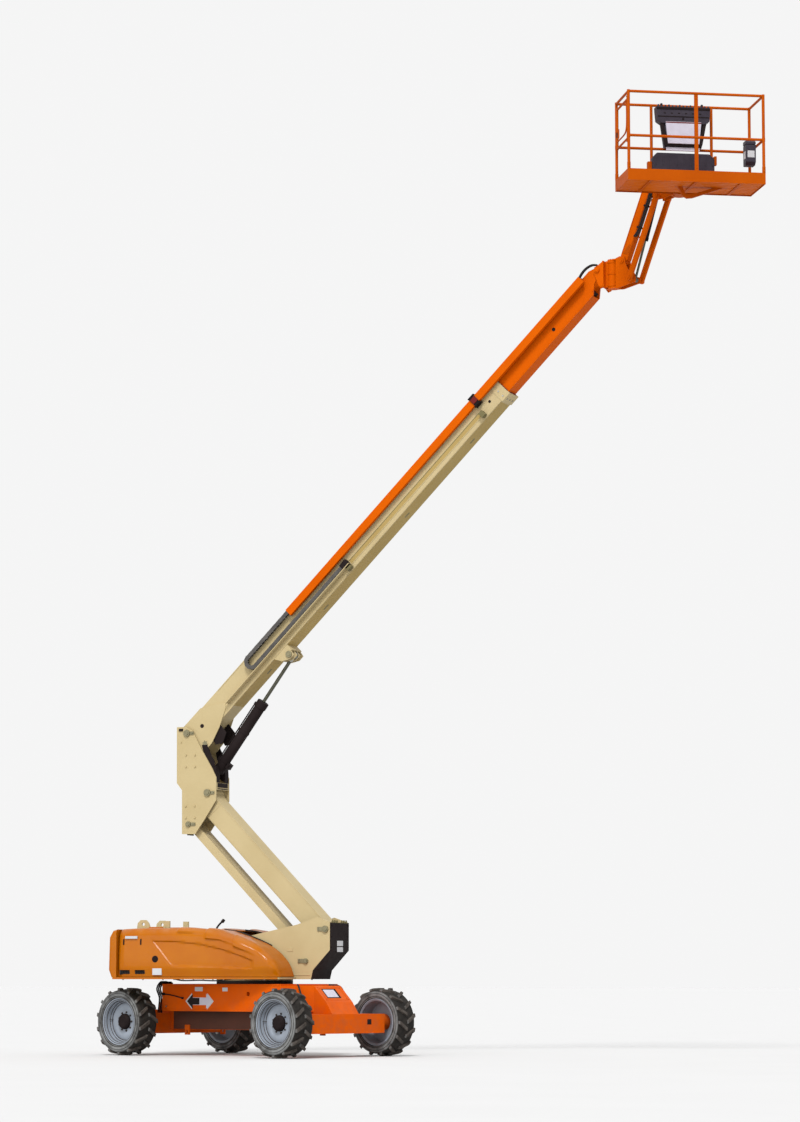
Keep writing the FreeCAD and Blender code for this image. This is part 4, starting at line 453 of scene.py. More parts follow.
@dataclass
class Shape:
    """Mesh of one piece, built up from simple solids in a frame of its own."""

    name: str
    place: Matrix
    mesh: bmesh.types.BMesh = field(default_factory=bmesh.new)

    def loft(self, rings: Sequence[Sequence[Vector]], closed: bool = True, capped: bool = True) -> None:
        """Skin a row of rings.

        Args:
            rings: rings of points, all with the same count.
            closed: whether each ring's last point joins its first.
            capped: whether the first and last rings are filled.
        """
        rows = [[self.mesh.verts.new(point) for point in ring] for ring in rings]
        count = len(rows[0])
        runs = count if closed else count - 1
        for lower, upper in zip(rows, rows[1:]):
            for index in range(runs):
                after = (index + 1) % count
                self.mesh.faces.new((lower[index], lower[after], upper[after], upper[index]))
        if capped:
            self.mesh.faces.new(rows[0][::-1])
            self.mesh.faces.new(rows[-1])

    def prism(self, plane: Plane, outline: Sequence[Flat], low: float, high: float) -> "Shape":
        """Push an outline from low to high across its plane."""
        rings = []
        for level in (low, high):
            if plane is Plane.SIDE:
                rings.append([Vector((first, level, second)) for first, second in outline])
            elif plane is Plane.FLOOR:
                rings.append([Vector((first, second, level)) for first, second in outline])
            else:
                rings.append([Vector((level, first, second)) for first, second in outline])
        self.loft(rings)
        return self

    def block(self, low: Point, high: Point) -> "Shape":
        """Add a block between two corners."""
        outline = [(low[0], low[1]), (high[0], low[1]), (high[0], high[1]), (low[0], high[1])]
        return self.prism(Plane.FLOOR, outline, low[2], high[2])

    def rod(
        self, start: Point, end: Point, radius: float, sides: int = 20, tip: float | None = None,
    ) -> "Shape":
        """Add a round bar between two points, with another radius at its tip if one is given."""
        first, last = Vector(start), Vector(end)
        turn = (last - first).to_track_quat("Z", "Y")
        rings = []
        for centre, size in ((first, radius), (last, radius if tip is None else tip)):
            spokes = (math.tau * side / sides for side in range(sides))
            rings.append(
                [centre + turn @ Vector((size * math.cos(a), size * math.sin(a), 0)) for a in spokes]
            )
        self.loft(rings)
        return self

    def lathe(self, centre: Point, axis: Point, profile: Sequence[Flat], sides: int = 48) -> "Shape":
        """Turn a closed profile about an axis.

        Args:
            centre: a point on the axis.
            axis: the axis' direction.
            profile: points of distance along the axis and radius, in order round the section.
            sides: how many faces go round.

        Returns:
            The shape itself.
        """
        middle, turn = Vector(centre), Vector(axis).to_track_quat("Z", "Y")
        rings = []
        for side in range(sides + 1):
            angle = math.tau * side / sides
            spoke = Vector((math.cos(angle), math.sin(angle), 0))
            rings.append(
                [middle + turn @ (spoke * radius + Vector((0, 0, along))) for along, radius in profile]
            )
        self.loft(rings, capped=False)
        bmesh.ops.remove_doubles(self.mesh, verts=self.mesh.verts[:], dist=1e-6)
        return self

    def tube(self, points: Sequence[Point], radius: float, sides: int = 10, steps: int = 8) -> "Shape":
        """Add a hose or bent bar along a smooth line."""
        line = smooth_path(points, steps)
        rings = []
        up = Vector((0.013, 0.027, 1.0)).normalized()
        for index, spot in enumerate(line):
            ahead = line[min(index + 1, len(line) - 1)] - line[max(index - 1, 0)]
            ahead.normalize()
            across = ahead.cross(up)
            across = across.normalized() if across.length > 0.05 else ahead.orthogonal().normalized()
            up = across.cross(ahead).normalized()
            spokes = (math.tau * side / sides for side in range(sides))
            rings.append([spot + (across * math.cos(a) + up * math.sin(a)) * radius for a in spokes])
        self.loft(rings)
        return self

    def bolt(self, at: Point, axis: Point, size: float = 0.012) -> "Shape":
        """Add a hexagon head on its washer; size is the head's half width."""
        seat, out = Vector(at), Vector(axis).normalized()
        self.rod(seat, seat + out * size * 0.25, size * 1.35, 16)
        self.rod(seat + out * size * 0.25, seat + out * size * 1.15, size, 6, size * 0.94)
        return self

    def bolts(self, spots: Iterable[Point], axis: Point, size: float = 0.012) -> "Shape":
        """Add a head at each spot."""
        for spot in spots:
            self.bolt(spot, axis, size)
        return self

    def stud(self, side: int, at: Flat, near: float, far: float, radius: float, sides: int) -> "Shape":
        """Add a round bar straight across the machine, between two distances from its middle.

        Args:
            side: 1 for the left, -1 for the right.
            at: the bar's place along the machine and its height.
            near: where the bar starts, measured from the middle.
            far: where it ends.
            radius: the bar's radius.
            sides: how many faces go round.

        Returns:
            The shape itself.
        """
        return self.rod((at[0], side * near, at[1]), (at[0], side * far, at[1]), radius, sides)

    def plates(self, near: float, far: float, faces: Iterable[Face], sides: Sequence[int] = SIDES) -> "Shape":
        """Add flat blocks on the sides of the machine.

        Args:
            near: the blocks' inner or outer surface, measured from the middle.
            far: their other surface.
            faces: low and high corner of each block, along the machine and up.
            sides: 1 for the left, -1 for the right.

        Returns:
            The shape itself.
        """
        for side in sides:
            low, high = sorted((side * near, side * far))
            for low_x, low_z, high_x, high_z in faces:
                self.block((low_x, low, low_z), (high_x, high, high_z))
        return self

    def finish(self, body: str, finish: Finish, bevel: float = 0.0, angle: float = 35.0) -> bpy.types.Object:
        """Turn the mesh into a piece that rides on a body.

        Args:
            body: the body it moves with.
            finish: what it is coated with.
            bevel: width of its rounded edges, or 0 for none.
            angle: edges sharper than this stay crisp.

        Returns:
            The new piece.
        """
        bmesh.ops.recalc_face_normals(self.mesh, faces=self.mesh.faces[:])
        data = bpy.data.meshes.new(self.name)
        self.mesh.to_mesh(data)
        self.mesh.free()
        data.transform(self.place)
        data.polygons.foreach_set("use_smooth", [True] * len(data.polygons))
        data.set_sharp_from_angle(angle=math.radians(angle))
        data.materials.append(FinishShelf.take(finish))
        piece = bpy.data.objects.new(self.name, data)
        bpy.context.scene.collection.objects.link(piece)
        if bevel:
            edge = piece.modifiers.new("edges", "BEVEL")
            edge.width = bevel
            edge.segments = 2
            edge.limit_method = "ANGLE"
            edge.angle_limit = math.radians(angle)
            edge.harden_normals = True
        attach(piece, body)
        LOG.info("piece %s on %s", self.name, body)
        return piece


def hoop(start: float, end: float, inner: float, outer: float) -> list[Flat]:
    """Return the section of a plain ring, as distance along its axis and radius."""
    return [(start, inner), (start, outer), (end, outer), (end, inner)]


def circle(radius: float, count: int, start: float = 0.0) -> list[Flat]:
    """Return points spread evenly round a circle; start shifts them by a share of one step."""
    angles = (math.tau * (step + start) / count for step in range(count))
    return [(radius * math.cos(angle), radius * math.sin(angle)) for angle in angles]


def dress(names: Iterable[str], finish: Finish) -> None:
    """Coat construction nodes as they stand."""
    for name in names:
        node = frame["nodes"][name]
        node.data.materials.clear()
        node.data.materials.append(FinishShelf.take(finish))


# ---------------------------------------------------------------------------
# Wheels
# ---------------------------------------------------------------------------
@dataclass
class Wheel:
    """Lugged tyre on a deep dished rim, outer side toward +Y of its own frame."""

    corner: str
    radius: float = 0.457
    lugs: int = 14
    lug_slant: float = 0.092
    lug_width: float = 0.046

    @property
    def place(self) -> Matrix:
        """Frame at the wheel's middle."""
        joint = JOINTS[f"wheel_{self.corner}_spin"]
        turn = SLEW if self.corner.endswith("left") else SLEW + 180.0
        return turned_place(joint["pos_m"], "Z", turn)

    def carcass(self) -> list[Flat]:
        """Return the tyre's section as distance across and radius, without its lugs."""
        half = [
            (0.1457, 0.2866), (0.1457, 0.3195), (0.1610, 0.3215), (0.1665, 0.3290), (0.1665, 0.3340),
            (0.1600, 0.3370), (0.1600, 0.3420), (0.1670, 0.3470), (0.1698, 0.3620), (0.1698, 0.3780),
            (0.1640, 0.3805), (0.1640, 0.3860), (0.1680, 0.3890), (0.1660, 0.4010), (0.1600, 0.4100),
            (0.1540, 0.4180), (0.1300, 0.4250), (0.0650, 0.4270), (0.0000, 0.4275),
        ]
        return half + [(-across, size) for across, size in half[-2::-1]]

    def add_lug(self, shape: Shape, turn: float, side: int) -> None:
        """Add one tread bar that runs from the crown over the shoulder.

        Args:
            shape: the tyre being built.
            turn: where the bar's middle stands round the tyre, in radians.
            side: 1 for the outer half of the tread, -1 for the inner half.
        """
        stations = [
            (0.004, 0.4562, 0.002, 0.420), (0.070, 0.4570, 0.070, 0.420), (0.128, 0.4560, 0.126, 0.416),
            (0.151, 0.4528, 0.146, 0.414), (0.1592, 0.4436, 0.150, 0.410), (0.1634, 0.4255, 0.153, 0.406),
        ]
        rings = []
        for top_y, top_r, base_y, base_r in stations:
            middle = turn + self.lug_slant * (min(top_y, 0.158) / 0.148 - 0.54) / self.radius
            narrow = self.lug_width / 2 / self.radius
            wide = narrow * 1.18
            ring = []
            for shift, across, size in (
                (-narrow, top_y, top_r), (narrow, top_y, top_r), (wide, base_y, base_r),
                (-wide, base_y, base_r),
            ):
                angle = middle + shift
                ring.append(Vector((math.cos(angle) * size, across * side, math.sin(angle) * size)))
            rings.append(ring)
        shape.loft(rings)

    def build_tyre(self) -> None:
        """Build the tyre with its tread bars."""
        shape = Shape(f"tyre_tread_{self.corner}", self.place)
        shape.lathe(ORIGIN, OUTWARD, self.carcass(), 72)
        smooth_faces = len(shape.mesh.faces)
        for index in range(self.lugs):
            for side, offset in ((1, 0.25), (-1, 0.75)):
                self.add_lug(shape, -math.tau * (0.25 + (index + offset) / self.lugs), side)
        tyre = shape.finish(f"wheel_{self.corner}", Finish.TREAD, bevel=0.003, angle=40.0)
        tyre.data.materials.append(FinishShelf.take(Finish.LUGS))
        for face in tyre.data.polygons[smooth_faces:]:
            face.material_index = 1
        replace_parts(tyre, f"tyre_{self.corner}")

    def build_rim(self) -> None:
        """Build the stepped rim, its hub and the nuts that hold it."""
        body = f"wheel_{self.corner}"
        section = [
            (-0.158, 0.316), (-0.146, 0.316), (-0.146, 0.286), (0.146, 0.286), (0.146, 0.316),
            (0.158, 0.316), (0.158, 0.308), (0.150, 0.303), (0.147, 0.293), (0.112, 0.289), (0.108, 0.279),
            (0.064, 0.275), (0.058, 0.265), (0.038, 0.259), (0.032, 0.248), (0.041, 0.226), (0.044, 0.190),
            (0.036, 0.160), (0.032, 0.146), (0.032, 0.106), (0.016, 0.106), (0.016, 0.262), (-0.050, 0.271),
            (-0.147, 0.290), (-0.158, 0.306),
        ]
        rim = Shape(f"dished_rim_{self.corner}", self.place).lathe(ORIGIN, OUTWARD, section, 64)
        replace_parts(rim.finish(body, Finish.RIM, bevel=0.0015, angle=30.0), f"rim_{self.corner}")
        # Thin dark rings in the corners of the rim's steps: painted shade.
        step_shade_rings = Shape(f"rim_step_shade_{self.corner}", self.place)
        for out, size in ((0.1485, 0.2975), (0.1105, 0.2830), (0.0625, 0.2690), (0.0375, 0.2520)):
            step_shade_rings.lathe(ORIGIN, OUTWARD, hoop(out - 0.004, out + 0.001, size - 0.004, size + 0.004), 64)
        step_shade_rings.finish(body, Finish.CAST)
        hub = Shape(f"hub_{self.corner}", self.place)
        hub.lathe(ORIGIN, OUTWARD, [
            (0.016, 0.0603), (0.016, 0.1055), (0.060, 0.1055), (0.068, 0.097), (0.084, 0.088),
            (0.090, 0.080), (0.092, 0.060), (0.092, 0.0), (0.034, 0.0), (0.034, 0.0603),
        ], 40)
        hub.bolts([(across, 0.091, up) for across, up in circle(0.066, 6)], OUTWARD, size=0.007)
        hub.finish(body, Finish.BLACK, bevel=0.0015)
        nuts = Shape(f"wheel_nuts_{self.corner}", self.place)
        nuts.bolts([(across, 0.032, up) for across, up in circle(0.1265, 9, 0.5)], OUTWARD, size=0.0110)
        nuts.rod((0.236, 0.036, 0.02), (0.262, 0.088, 0.02), 0.004, 10)
        nuts.finish(body, Finish.CAST)

    def build(self) -> None:
        """Build the whole wheel."""
        self.build_tyre()
        self.build_rim()


# ---------------------------------------------------------------------------
# Chassis
# ---------------------------------------------------------------------------
@dataclass
class Chassis:
    """Bolts, plates, signs and lines on the frame, the axles and the steering."""

    side: float = 0.55
    rear: float = -1.24
    front: float = 1.03
    axle: float = 1.475
    hub: float = 0.457
    motor: float = 0.7605
    kingpin: float = 0.745

    def add_arrow(self, side: int) -> None:
        """Add the plain two-headed travel arrow on one side."""
        middle_x, middle_z = -0.509, 0.733
        spots = [(-0.752, middle_z), (-0.640, 0.832), (-0.640, 0.778), (middle_x, 0.778)]
        left = spots + [(across, 2 * middle_z - up) for across, up in spots[:0:-1]]
        right = [(2 * middle_x - across, up) for across, up in left]
        wall = side * self.side
        for name, outline, finish, grow in (
            ("arrow_edge_rear", left, Finish.LABEL, 1.12),
            ("arrow_edge_front", right, Finish.LABEL, 1.12),
            ("arrow_rear", left, Finish.BLACK, 1.0),
            ("arrow_front", right, Finish.PALE, 1.0),
        ):
            shape = Shape(f"{name}_{'left' if side > 0 else 'right'}", CHASSIS)
            grown = []
            for across, up in outline:
                widen = grow if abs(across - middle_x) > 0.01 else 1.0
                grown.append((middle_x + (across - middle_x) * widen, middle_z + (up - middle_z) * grow))
            thick = 0.0012 if grow > 1.0 else 0.0022
            shape.prism(Plane.SIDE, grown, wall, wall + side * thick)
            shape.finish("chassis", finish)

    def build_signs(self) -> None:
        """Add arrows and blank plates to both sides."""
        for side, word in ((1, "left"), (-1, "right")):
            self.add_arrow(side)
            plates = Shape(f"chassis_plates_{word}", CHASSIS)
            faces = ((-0.60, 0.868, -0.45, 0.925), (-0.07, 0.868, 0.03, 0.918), (0.70, 0.640, 0.80, 0.700))
            plates.plates(self.side, self.side + 0.0018, faces, (side,))
            plates.finish("chassis", Finish.LABEL, bevel=0.0005)

    def build_fixings(self) -> None:
        """Add seams, thin dark sheets of painted shade on the belly, and bolts."""
        trim = Shape("chassis_seams", CHASSIS)
        start, end = self.rear + 0.02, self.front - 0.02
        trim.plates(self.side, self.side + 0.006, ((start, 0.598, end, 0.618), (start, 0.945, end, 0.963)))
        trim.finish("chassis", Finish.ORANGE, bevel=0.002)
        # Thin dark brown sheets on the recessed belly and under the box's overhang: painted shade.
        guard = Shape("belly_shade_sheets", CHASSIS)
        for side in SIDES:
            guard.plates(0.3302, 0.3330, ((-1.235, 0.353, 1.235, 0.597),), (side,))
            guard.plates(0.334, 0.548, ((-1.238, 0.5965, 1.028, 0.5998),), (side,))
        guard.finish("chassis", Finish.BELLY_SHADE)
        bolts = Shape("chassis_bolts", CHASSIS)
        for side in SIDES:
            for spot in (-1.16, 0.97):
                bolts.bolt((spot, side * self.side, 0.66), (0, side, 0), size=0.009)
        bolts.bolts([(*spot, 0.990) for spot in circle(0.475, 30)], UP, size=0.010)
        bolts.finish("chassis", Finish.STEEL)

    def build_nose(self) -> None:
        """Add the sealed window and cover plates on the sloped nose and tail."""
        for end, word in ((1, "nose"), (-1, "tail")):
            run, drop = 0.223, 0.213
            length = math.hypot(run, drop)
            slope = CHASSIS @ Matrix.Translation((1.36 * end, 0, 0.944))
            slope = slope @ Matrix.Rotation(0.0 if end > 0 else math.pi, 4, "Z")
            slope = slope @ Matrix.Rotation(math.atan2(drop, run), 4, "Y")
            seal = Shape(f"{word}_seal", slope)
            frame_width, high = 0.215, length - 0.035
            for low_y, high_y, low_x, high_x in (
                (-frame_width, frame_width, 0.030, 0.044), (-frame_width, frame_width, high - 0.014, high),
                (-frame_width, -frame_width + 0.014, 0.030, high),
                (frame_width - 0.014, frame_width, 0.030, high),
            ):
                seal.block((low_x, low_y, 0.0), (high_x, high_y, 0.004))
            seal.finish("chassis", Finish.ORANGE, bevel=0.001)
            backing = Shape(f"{word}_plate_frame", slope).block((0.062, -0.165, 0.0), (0.235, 0.100, 0.002))
            backing.finish("chassis", Finish.BLACK, bevel=0.001)
            cover = Shape(f"{word}_plate", slope).block((0.078, -0.150, 0.0), (0.220, 0.060, 0.0035))
            cover.finish("chassis", Finish.PALE, bevel=0.001)
            knobs = Shape(f"{word}_cover_bolts", slope)
            seats = [(across, side, 0.0) for across in (0.055, high - 0.028) for side in (-0.19, 0.19)]
            knobs.bolts(seats, UP, size=0.008)
            knobs.finish("chassis", Finish.ORANGE)

    def build_lines(self) -> None:
        """Add the valve, its hoses and the locking rod."""
        valve = Shape("steer_valve", CHASSIS)
        valve.block((-1.33, -0.47, 0.945), (-1.25, -0.36, 0.998))
        valve.rod((-1.29, -0.47, 0.972), (-1.29, -0.50, 0.972), 0.014, 14)
        valve.rod((-1.27, -0.36, 0.972), (-1.27, -0.33, 0.972), 0.014, 14)
        valve.finish("chassis", Finish.BLACK, bevel=0.003)
        hoses = Shape("steer_hoses", CHASSIS)
        for shift in (0.0, 0.035, 0.07):
            hoses.tube([
                (-1.31 + shift, -0.42, 0.985), (-1.37 + shift, -0.46, 0.99), (-1.40 + shift, -0.50, 0.90),
                (-1.36 + shift, -0.49, 0.78), (-1.42 + shift, -0.44, 0.66), (-1.50 + shift, -0.38, 0.575),
            ], 0.011)
        for side in SIDES:
            hoses.tube(
                [
                    (1.10, side * 0.30, 0.955), (1.22, side * 0.40, 0.93), (1.30, side * 0.42, 0.78),
                    (1.36, side * 0.40, 0.60),
                ],
                0.012,
            )
        hoses.finish("chassis", Finish.HOSE)
        latch = Shape("swing_lock", CHASSIS)
        latch.tube([(-1.20, -0.563, 0.83), (-1.05, -0.566, 0.815), (-0.83, -0.566, 0.775)], 0.008)
        latch.rod((-1.20, -0.55, 0.83), (-1.20, -0.578, 0.83), 0.018, 16)
        latch.rod((-0.83, -0.55, 0.775), (-0.83, -0.578, 0.775), 0.014, 16)
        latch.finish("chassis", Finish.BLACK)

    def build_axles(self) -> None:
        """Add kingpin caps, motor bolts and a mark at the axles."""
        caps = Shape("kingpin_caps", CHASSIS)
        for side in SIDES:
            for level, out in ((0.625, 1), (0.289, -1)):
                caps.bolt((-self.axle, side * self.kingpin, level - 0.003 * out), (0, 0, out), size=0.022)
            ring = [(self.axle + across, side * self.motor, self.hub + up) for across, up in circle(0.088, 8)]
            caps.bolts(ring, (0, side, 0), size=0.009)
        caps.finish("chassis", Finish.STEEL)
        plate = Shape("axle_marks", CHASSIS).block((1.70, 0.42, 0.43), (1.7025, 0.50, 0.50))
        plate.finish("chassis", Finish.BLACK, bevel=0.001)

    def build(self) -> None:
        """Coat the frame and add everything on it."""
        dress(("chassis_frame", "axle_front", "axle_rear"), Finish.ORANGE)
        dress(("swing_bearing", "knuckle_left", "knuckle_right"), Finish.CAST)
        dress(("steering_rod",), Finish.CHROME)
        self.build_signs()
        self.build_fixings()
        self.build_nose()
        self.build_lines()
        self.build_axles()


# ---------------------------------------------------------------------------
# Turntable
# ---------------------------------------------------------------------------
def along(profile: Sequence[Flat], spot: float) -> float:
    """Return the height of a broken line at one spot along it."""
    for (start, low), (end, high) in zip(profile, profile[1:]):
        if start <= spot <= end:
            return low + (high - low) * (spot - start) / (end - start)
    return profile[0][1] if spot < profile[0][0] else profile[-1][1]


def depth_inside(outline: Sequence[Flat], spot: Flat) -> float:
    """Return how far a point lies inside an outline, or a negative distance outside it."""
    inside, nearest = False, 1e9
    point = Vector(spot)
    for start, end in zip(outline, [*outline[1:], outline[0]]):
        first, last = Vector(start), Vector(end)
        run = last - first
        share = max(0.0, min(1.0, (point - first).dot(run) / run.length_squared))
        nearest = min(nearest, (first + run * share - point).length)
        if (start[1] > spot[1]) != (end[1] > spot[1]):
            crossing = start[0] + (spot[1] - start[1]) * (end[0] - start[0]) / (end[1] - start[1])
            inside ^= spot[0] < crossing
    return nearest if inside else -nearest


def eased(value: float) -> float:
    """Return a value held between 0 and 1 with soft ends."""
    value = max(0.0, min(1.0, value))
    return value * value * (3 - 2 * value)


@dataclass
class Hood:
    """Moulded hood with a swept recess, raised shoulder scoops and rounded corners."""

    side: int
    rear: float = -1.659
    front: float = 0.732
    inner: float = 0.331
    outer: float = 0.879
    low: float = 1.063
    corner: float = 0.105
    skin: float = 0.012
    columns: int = 150
    crown: Sequence[Flat] = (
        (-1.66, 1.704), (-1.40, 1.716), (-1.136, 1.7205), (-0.60, 1.710), (-0.30, 1.695), (-0.14, 1.680),
        (0.112, 1.597), (0.33, 1.513), (0.42, 1.466), (0.50, 1.412), (0.56, 1.362), (0.614, 1.304),
        (0.655, 1.254), (0.69, 1.194), (0.712, 1.135), (0.732, 1.066),
    )
    recess: Sequence[Flat] = (
        (-1.129, 1.538), (-0.932, 1.544), (-0.705, 1.531), (-0.403, 1.498), (-0.100, 1.432), (0.202, 1.339),
        (0.353, 1.279), (0.353, 1.167), (-0.176, 1.187), (-0.811, 1.207), (-0.856, 1.233),
    )
    vents: Sequence[Flat] = ((-1.620, -1.468), (-1.394, -1.242))
    slots: Sequence[Flat] = ((-1.574, -1.552), (-1.318, -1.296))
    scoops: Sequence[tuple[float, float, float]] = (
        (-0.793, -0.25, 0.040), (-0.36, 0.05, 0.105), (0.06, 0.36, 0.120)
    )

    @property
    def word(self) -> str:
        """Side's name."""
        return "left" if self.side > 0 else "right"

    def swell(self, spot: float, level: float, turn: float, crest: float) -> float:
        """Return how far the skin stands out from the plain form at one point.

        Args:
            spot: place along the machine.
            level: height above the ground.
            turn: how far round the shoulder the point is, 0 on the side and 1 on top.
            crest: the hood's height at this spot.

        Returns:
            The distance, negative inward.
        """
        out = 0.0
        if turn <= 0.0:
            out = -0.020 * eased((depth_inside(self.recess, (spot, level)) + 0.004) / 0.014)
        for start, end, drop in self.scoops:
            share = (spot - start) / (end - start)
            if 0.0 < share < 1.3:
                body = eased(share * 14.0) * (1.0 - eased(max(0.0, share - 0.10) / 1.1))
                out += 0.034 * body * eased((level - (crest - drop - 0.03)) / 0.022)
        return out

    def section(self, spot: float) -> list[Vector]:
        """Return the points of the skin's section at one spot along the machine."""
        crest = along(self.crown, spot)
        reach = self.outer - 0.017
        ends = min(spot - self.rear, (self.front - spot) * 0.55)
        if ends < self.corner:
            gap = 1.0 - ends / self.corner
            reach -= self.corner * 0.7 * (1.0 - math.sqrt(max(0.0, 1.0 - gap * gap)))
        radius = min(0.115, (crest - self.low) * 0.48)
        points = []
        for step in range(9):
            points.append((self.inner + (reach - radius - self.inner) * step / 8, crest, 1.0))
        for across, up in arc_points((reach - radius, crest - radius), radius, 90, 0, 12)[1:]:
            points.append((across, up, (up - crest + radius) / radius))
        for step in range(1, 31):
            points.append((reach, crest - radius + (self.low - crest + radius) * step / 30, 0.0))
        ring = []
        for across, up, turn in points:
            out = self.swell(spot, up, turn, crest) * eased((across - self.inner - 0.16) / 0.14)
            tuck = 0.026 * eased((self.low + 0.13 - up) / 0.13)
            tuck += 0.030 * max(0.0, (up - self.low - 0.20) / 0.45) ** 1.4
            belly = 0.012 - tuck * eased((across - self.inner - 0.20) / 0.25)
            wide = math.sqrt(1.0 - min(1.0, turn) ** 2)
            ring.append(
                Vector((spot, (across + out * wide + belly) * self.side, up + out * min(1.0, turn) * 0.5))
            )
        return ring

    def build_skin(self) -> None:
        """Build the skin with its thickness."""
        shape = Shape(f"hood_skin_{self.word}", MACHINE)
        spots = [
            self.rear + (self.front - self.rear) * step / self.columns for step in range(self.columns + 1)
        ]
        rings = [self.section(spot) for spot in spots]
        shape.loft(rings, closed=False, capped=False)
        rear = rings[0]
        lower = [Vector((point.x, point.y, self.low)) for point in rear]
        shape.loft([rear, lower], closed=False, capped=False)
        bmesh.ops.remove_doubles(shape.mesh, verts=shape.mesh.verts[:], dist=1e-5)
        bmesh.ops.dissolve_degenerate(shape.mesh, dist=1e-6, edges=shape.mesh.edges[:])
        skin = shape.finish(f"hood_{self.word}", Finish.HOOD, bevel=0.0, angle=50.0)
        thick = skin.modifiers.new("thickness", "SOLIDIFY")
        thick.thickness = self.skin
        thick.offset = -1.0
        self.cut_openings(skin)
        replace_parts(skin, f"hood_{self.word}")

    def cut_openings(self, skin: bpy.types.Object) -> None:
        """Cut the vents and the latch slots through the skin."""
        shape = Shape("openings", MACHINE)
        for spans, low, high in ((self.vents, 1.100, 1.154), (self.slots, 1.490, 1.572)):
            shape.plates(0.80, 0.90, [(start, low, end, high) for start, end in spans], (self.side,))
        bmesh.ops.recalc_face_normals(shape.mesh, faces=shape.mesh.faces[:])
        data = bpy.data.meshes.new("openings")
        shape.mesh.to_mesh(data)
        shape.mesh.free()
        data.transform(MACHINE)
        tool = bpy.data.objects.new("openings", data)
        bpy.context.scene.collection.objects.link(tool)
        holes = skin.modifiers.new("openings", "BOOLEAN")
        holes.operation, holes.solver, holes.object = "DIFFERENCE", "EXACT", tool
        bpy.context.view_layer.update()
        solid = bpy.data.meshes.new_from_object(skin.evaluated_get(bpy.context.evaluated_depsgraph_get()))
        skin.modifiers.clear()
        solid.set_sharp_from_angle(angle=math.radians(38.0))
        skin.data = solid
        bpy.data.objects.remove(tool)

    def build_trim(self) -> None:
        """Add dark sheets of painted shade behind the vents and slots, vent ribs, latches, the round switch,
        plates, the hinge and the inner seal.
        """
        wall = self.outer - 0.008
        body = f"hood_{self.word}"

        def slab(name: str, finish: Finish, faces: Iterable[Face], thick: float, bevel: float) -> None:
            """Add flat blocks on the hood's side."""
            shape = Shape(f"{name}_{self.word}", MACHINE)
            shape.plates(wall - 0.03, wall + thick, faces, (self.side,)).finish(body, finish, bevel)

        # Dark sheets behind the vents and latch slots stand for the hood's shaded inside: painted shade.
        panes = [(start - 0.006, 1.094, end + 0.006, 1.160) for start, end in self.vents]
        panes += [(start - 0.006, 1.484, end + 0.006, 1.578) for start, end in self.slots]
        slab("hood_opening_shade", Finish.HOSE, panes, -0.020, 0.0)
        rib_spots = [start + 0.0252 * step for start, _ in self.vents for step in range(1, 6)]
        slab(
            "hood_vent_ribs", Finish.BLACK, [(at - 0.003, 1.099, at + 0.003, 1.155) for at in rib_spots],
            -0.006, 0.001,
        )
        pulls = [(start + 0.003, 1.500, end - 0.003, 1.562) for start, end in self.slots]
        slab("hood_latches", Finish.BLACK, pulls, -0.003, 0.002)
        slab("hood_plate", Finish.LABEL, ((-1.124, 1.087, -0.988, 1.207),), 0.0015, 0.001)
        slab("hood_upper_plate", Finish.LABEL, ((-1.535, 1.575, -1.355, 1.610),), 0.0075, 0.001)
        hinge = Shape(f"hood_hinge_{self.word}", MACHINE)
        hinge.rod((-1.440, self.side * 0.324, 1.730), (-1.230, self.side * 0.324, 1.730), 0.011, 20)
        hinge.plates(0.319, 0.374, ((-1.440, 1.693, -1.230, 1.727),), (self.side,))
        hinge.finish(body, Finish.HOOD, bevel=0.001)
        knob = Shape(f"hood_switch_{self.word}", MACHINE)
        knob.rod(
            (-1.085, self.side * (wall - 0.01), 1.300), (-1.085, self.side * (wall + 0.006), 1.300), 0.046,
            28,
        )
        knob.rod((-1.085, self.side * wall, 1.300), (-1.085, self.side * (wall + 0.0085), 1.300), 0.030, 28)
        knob.finish(body, Finish.BLACK, bevel=0.002)
        seal = Shape(f"hood_seal_{self.word}", MACHINE)
        wide = self.side * (self.inner + 0.006)
        line = [(spot, wide, along(self.crown, spot) + 0.004) for spot in (-0.30, -0.1, 0.1, 0.25, 0.40)]
        seal.tube(line, 0.011, 8, 4)
        seal.finish(body, Finish.HOSE)

    def build(self) -> None:
        """Build the hood."""
        self.build_skin()
        self.build_trim()


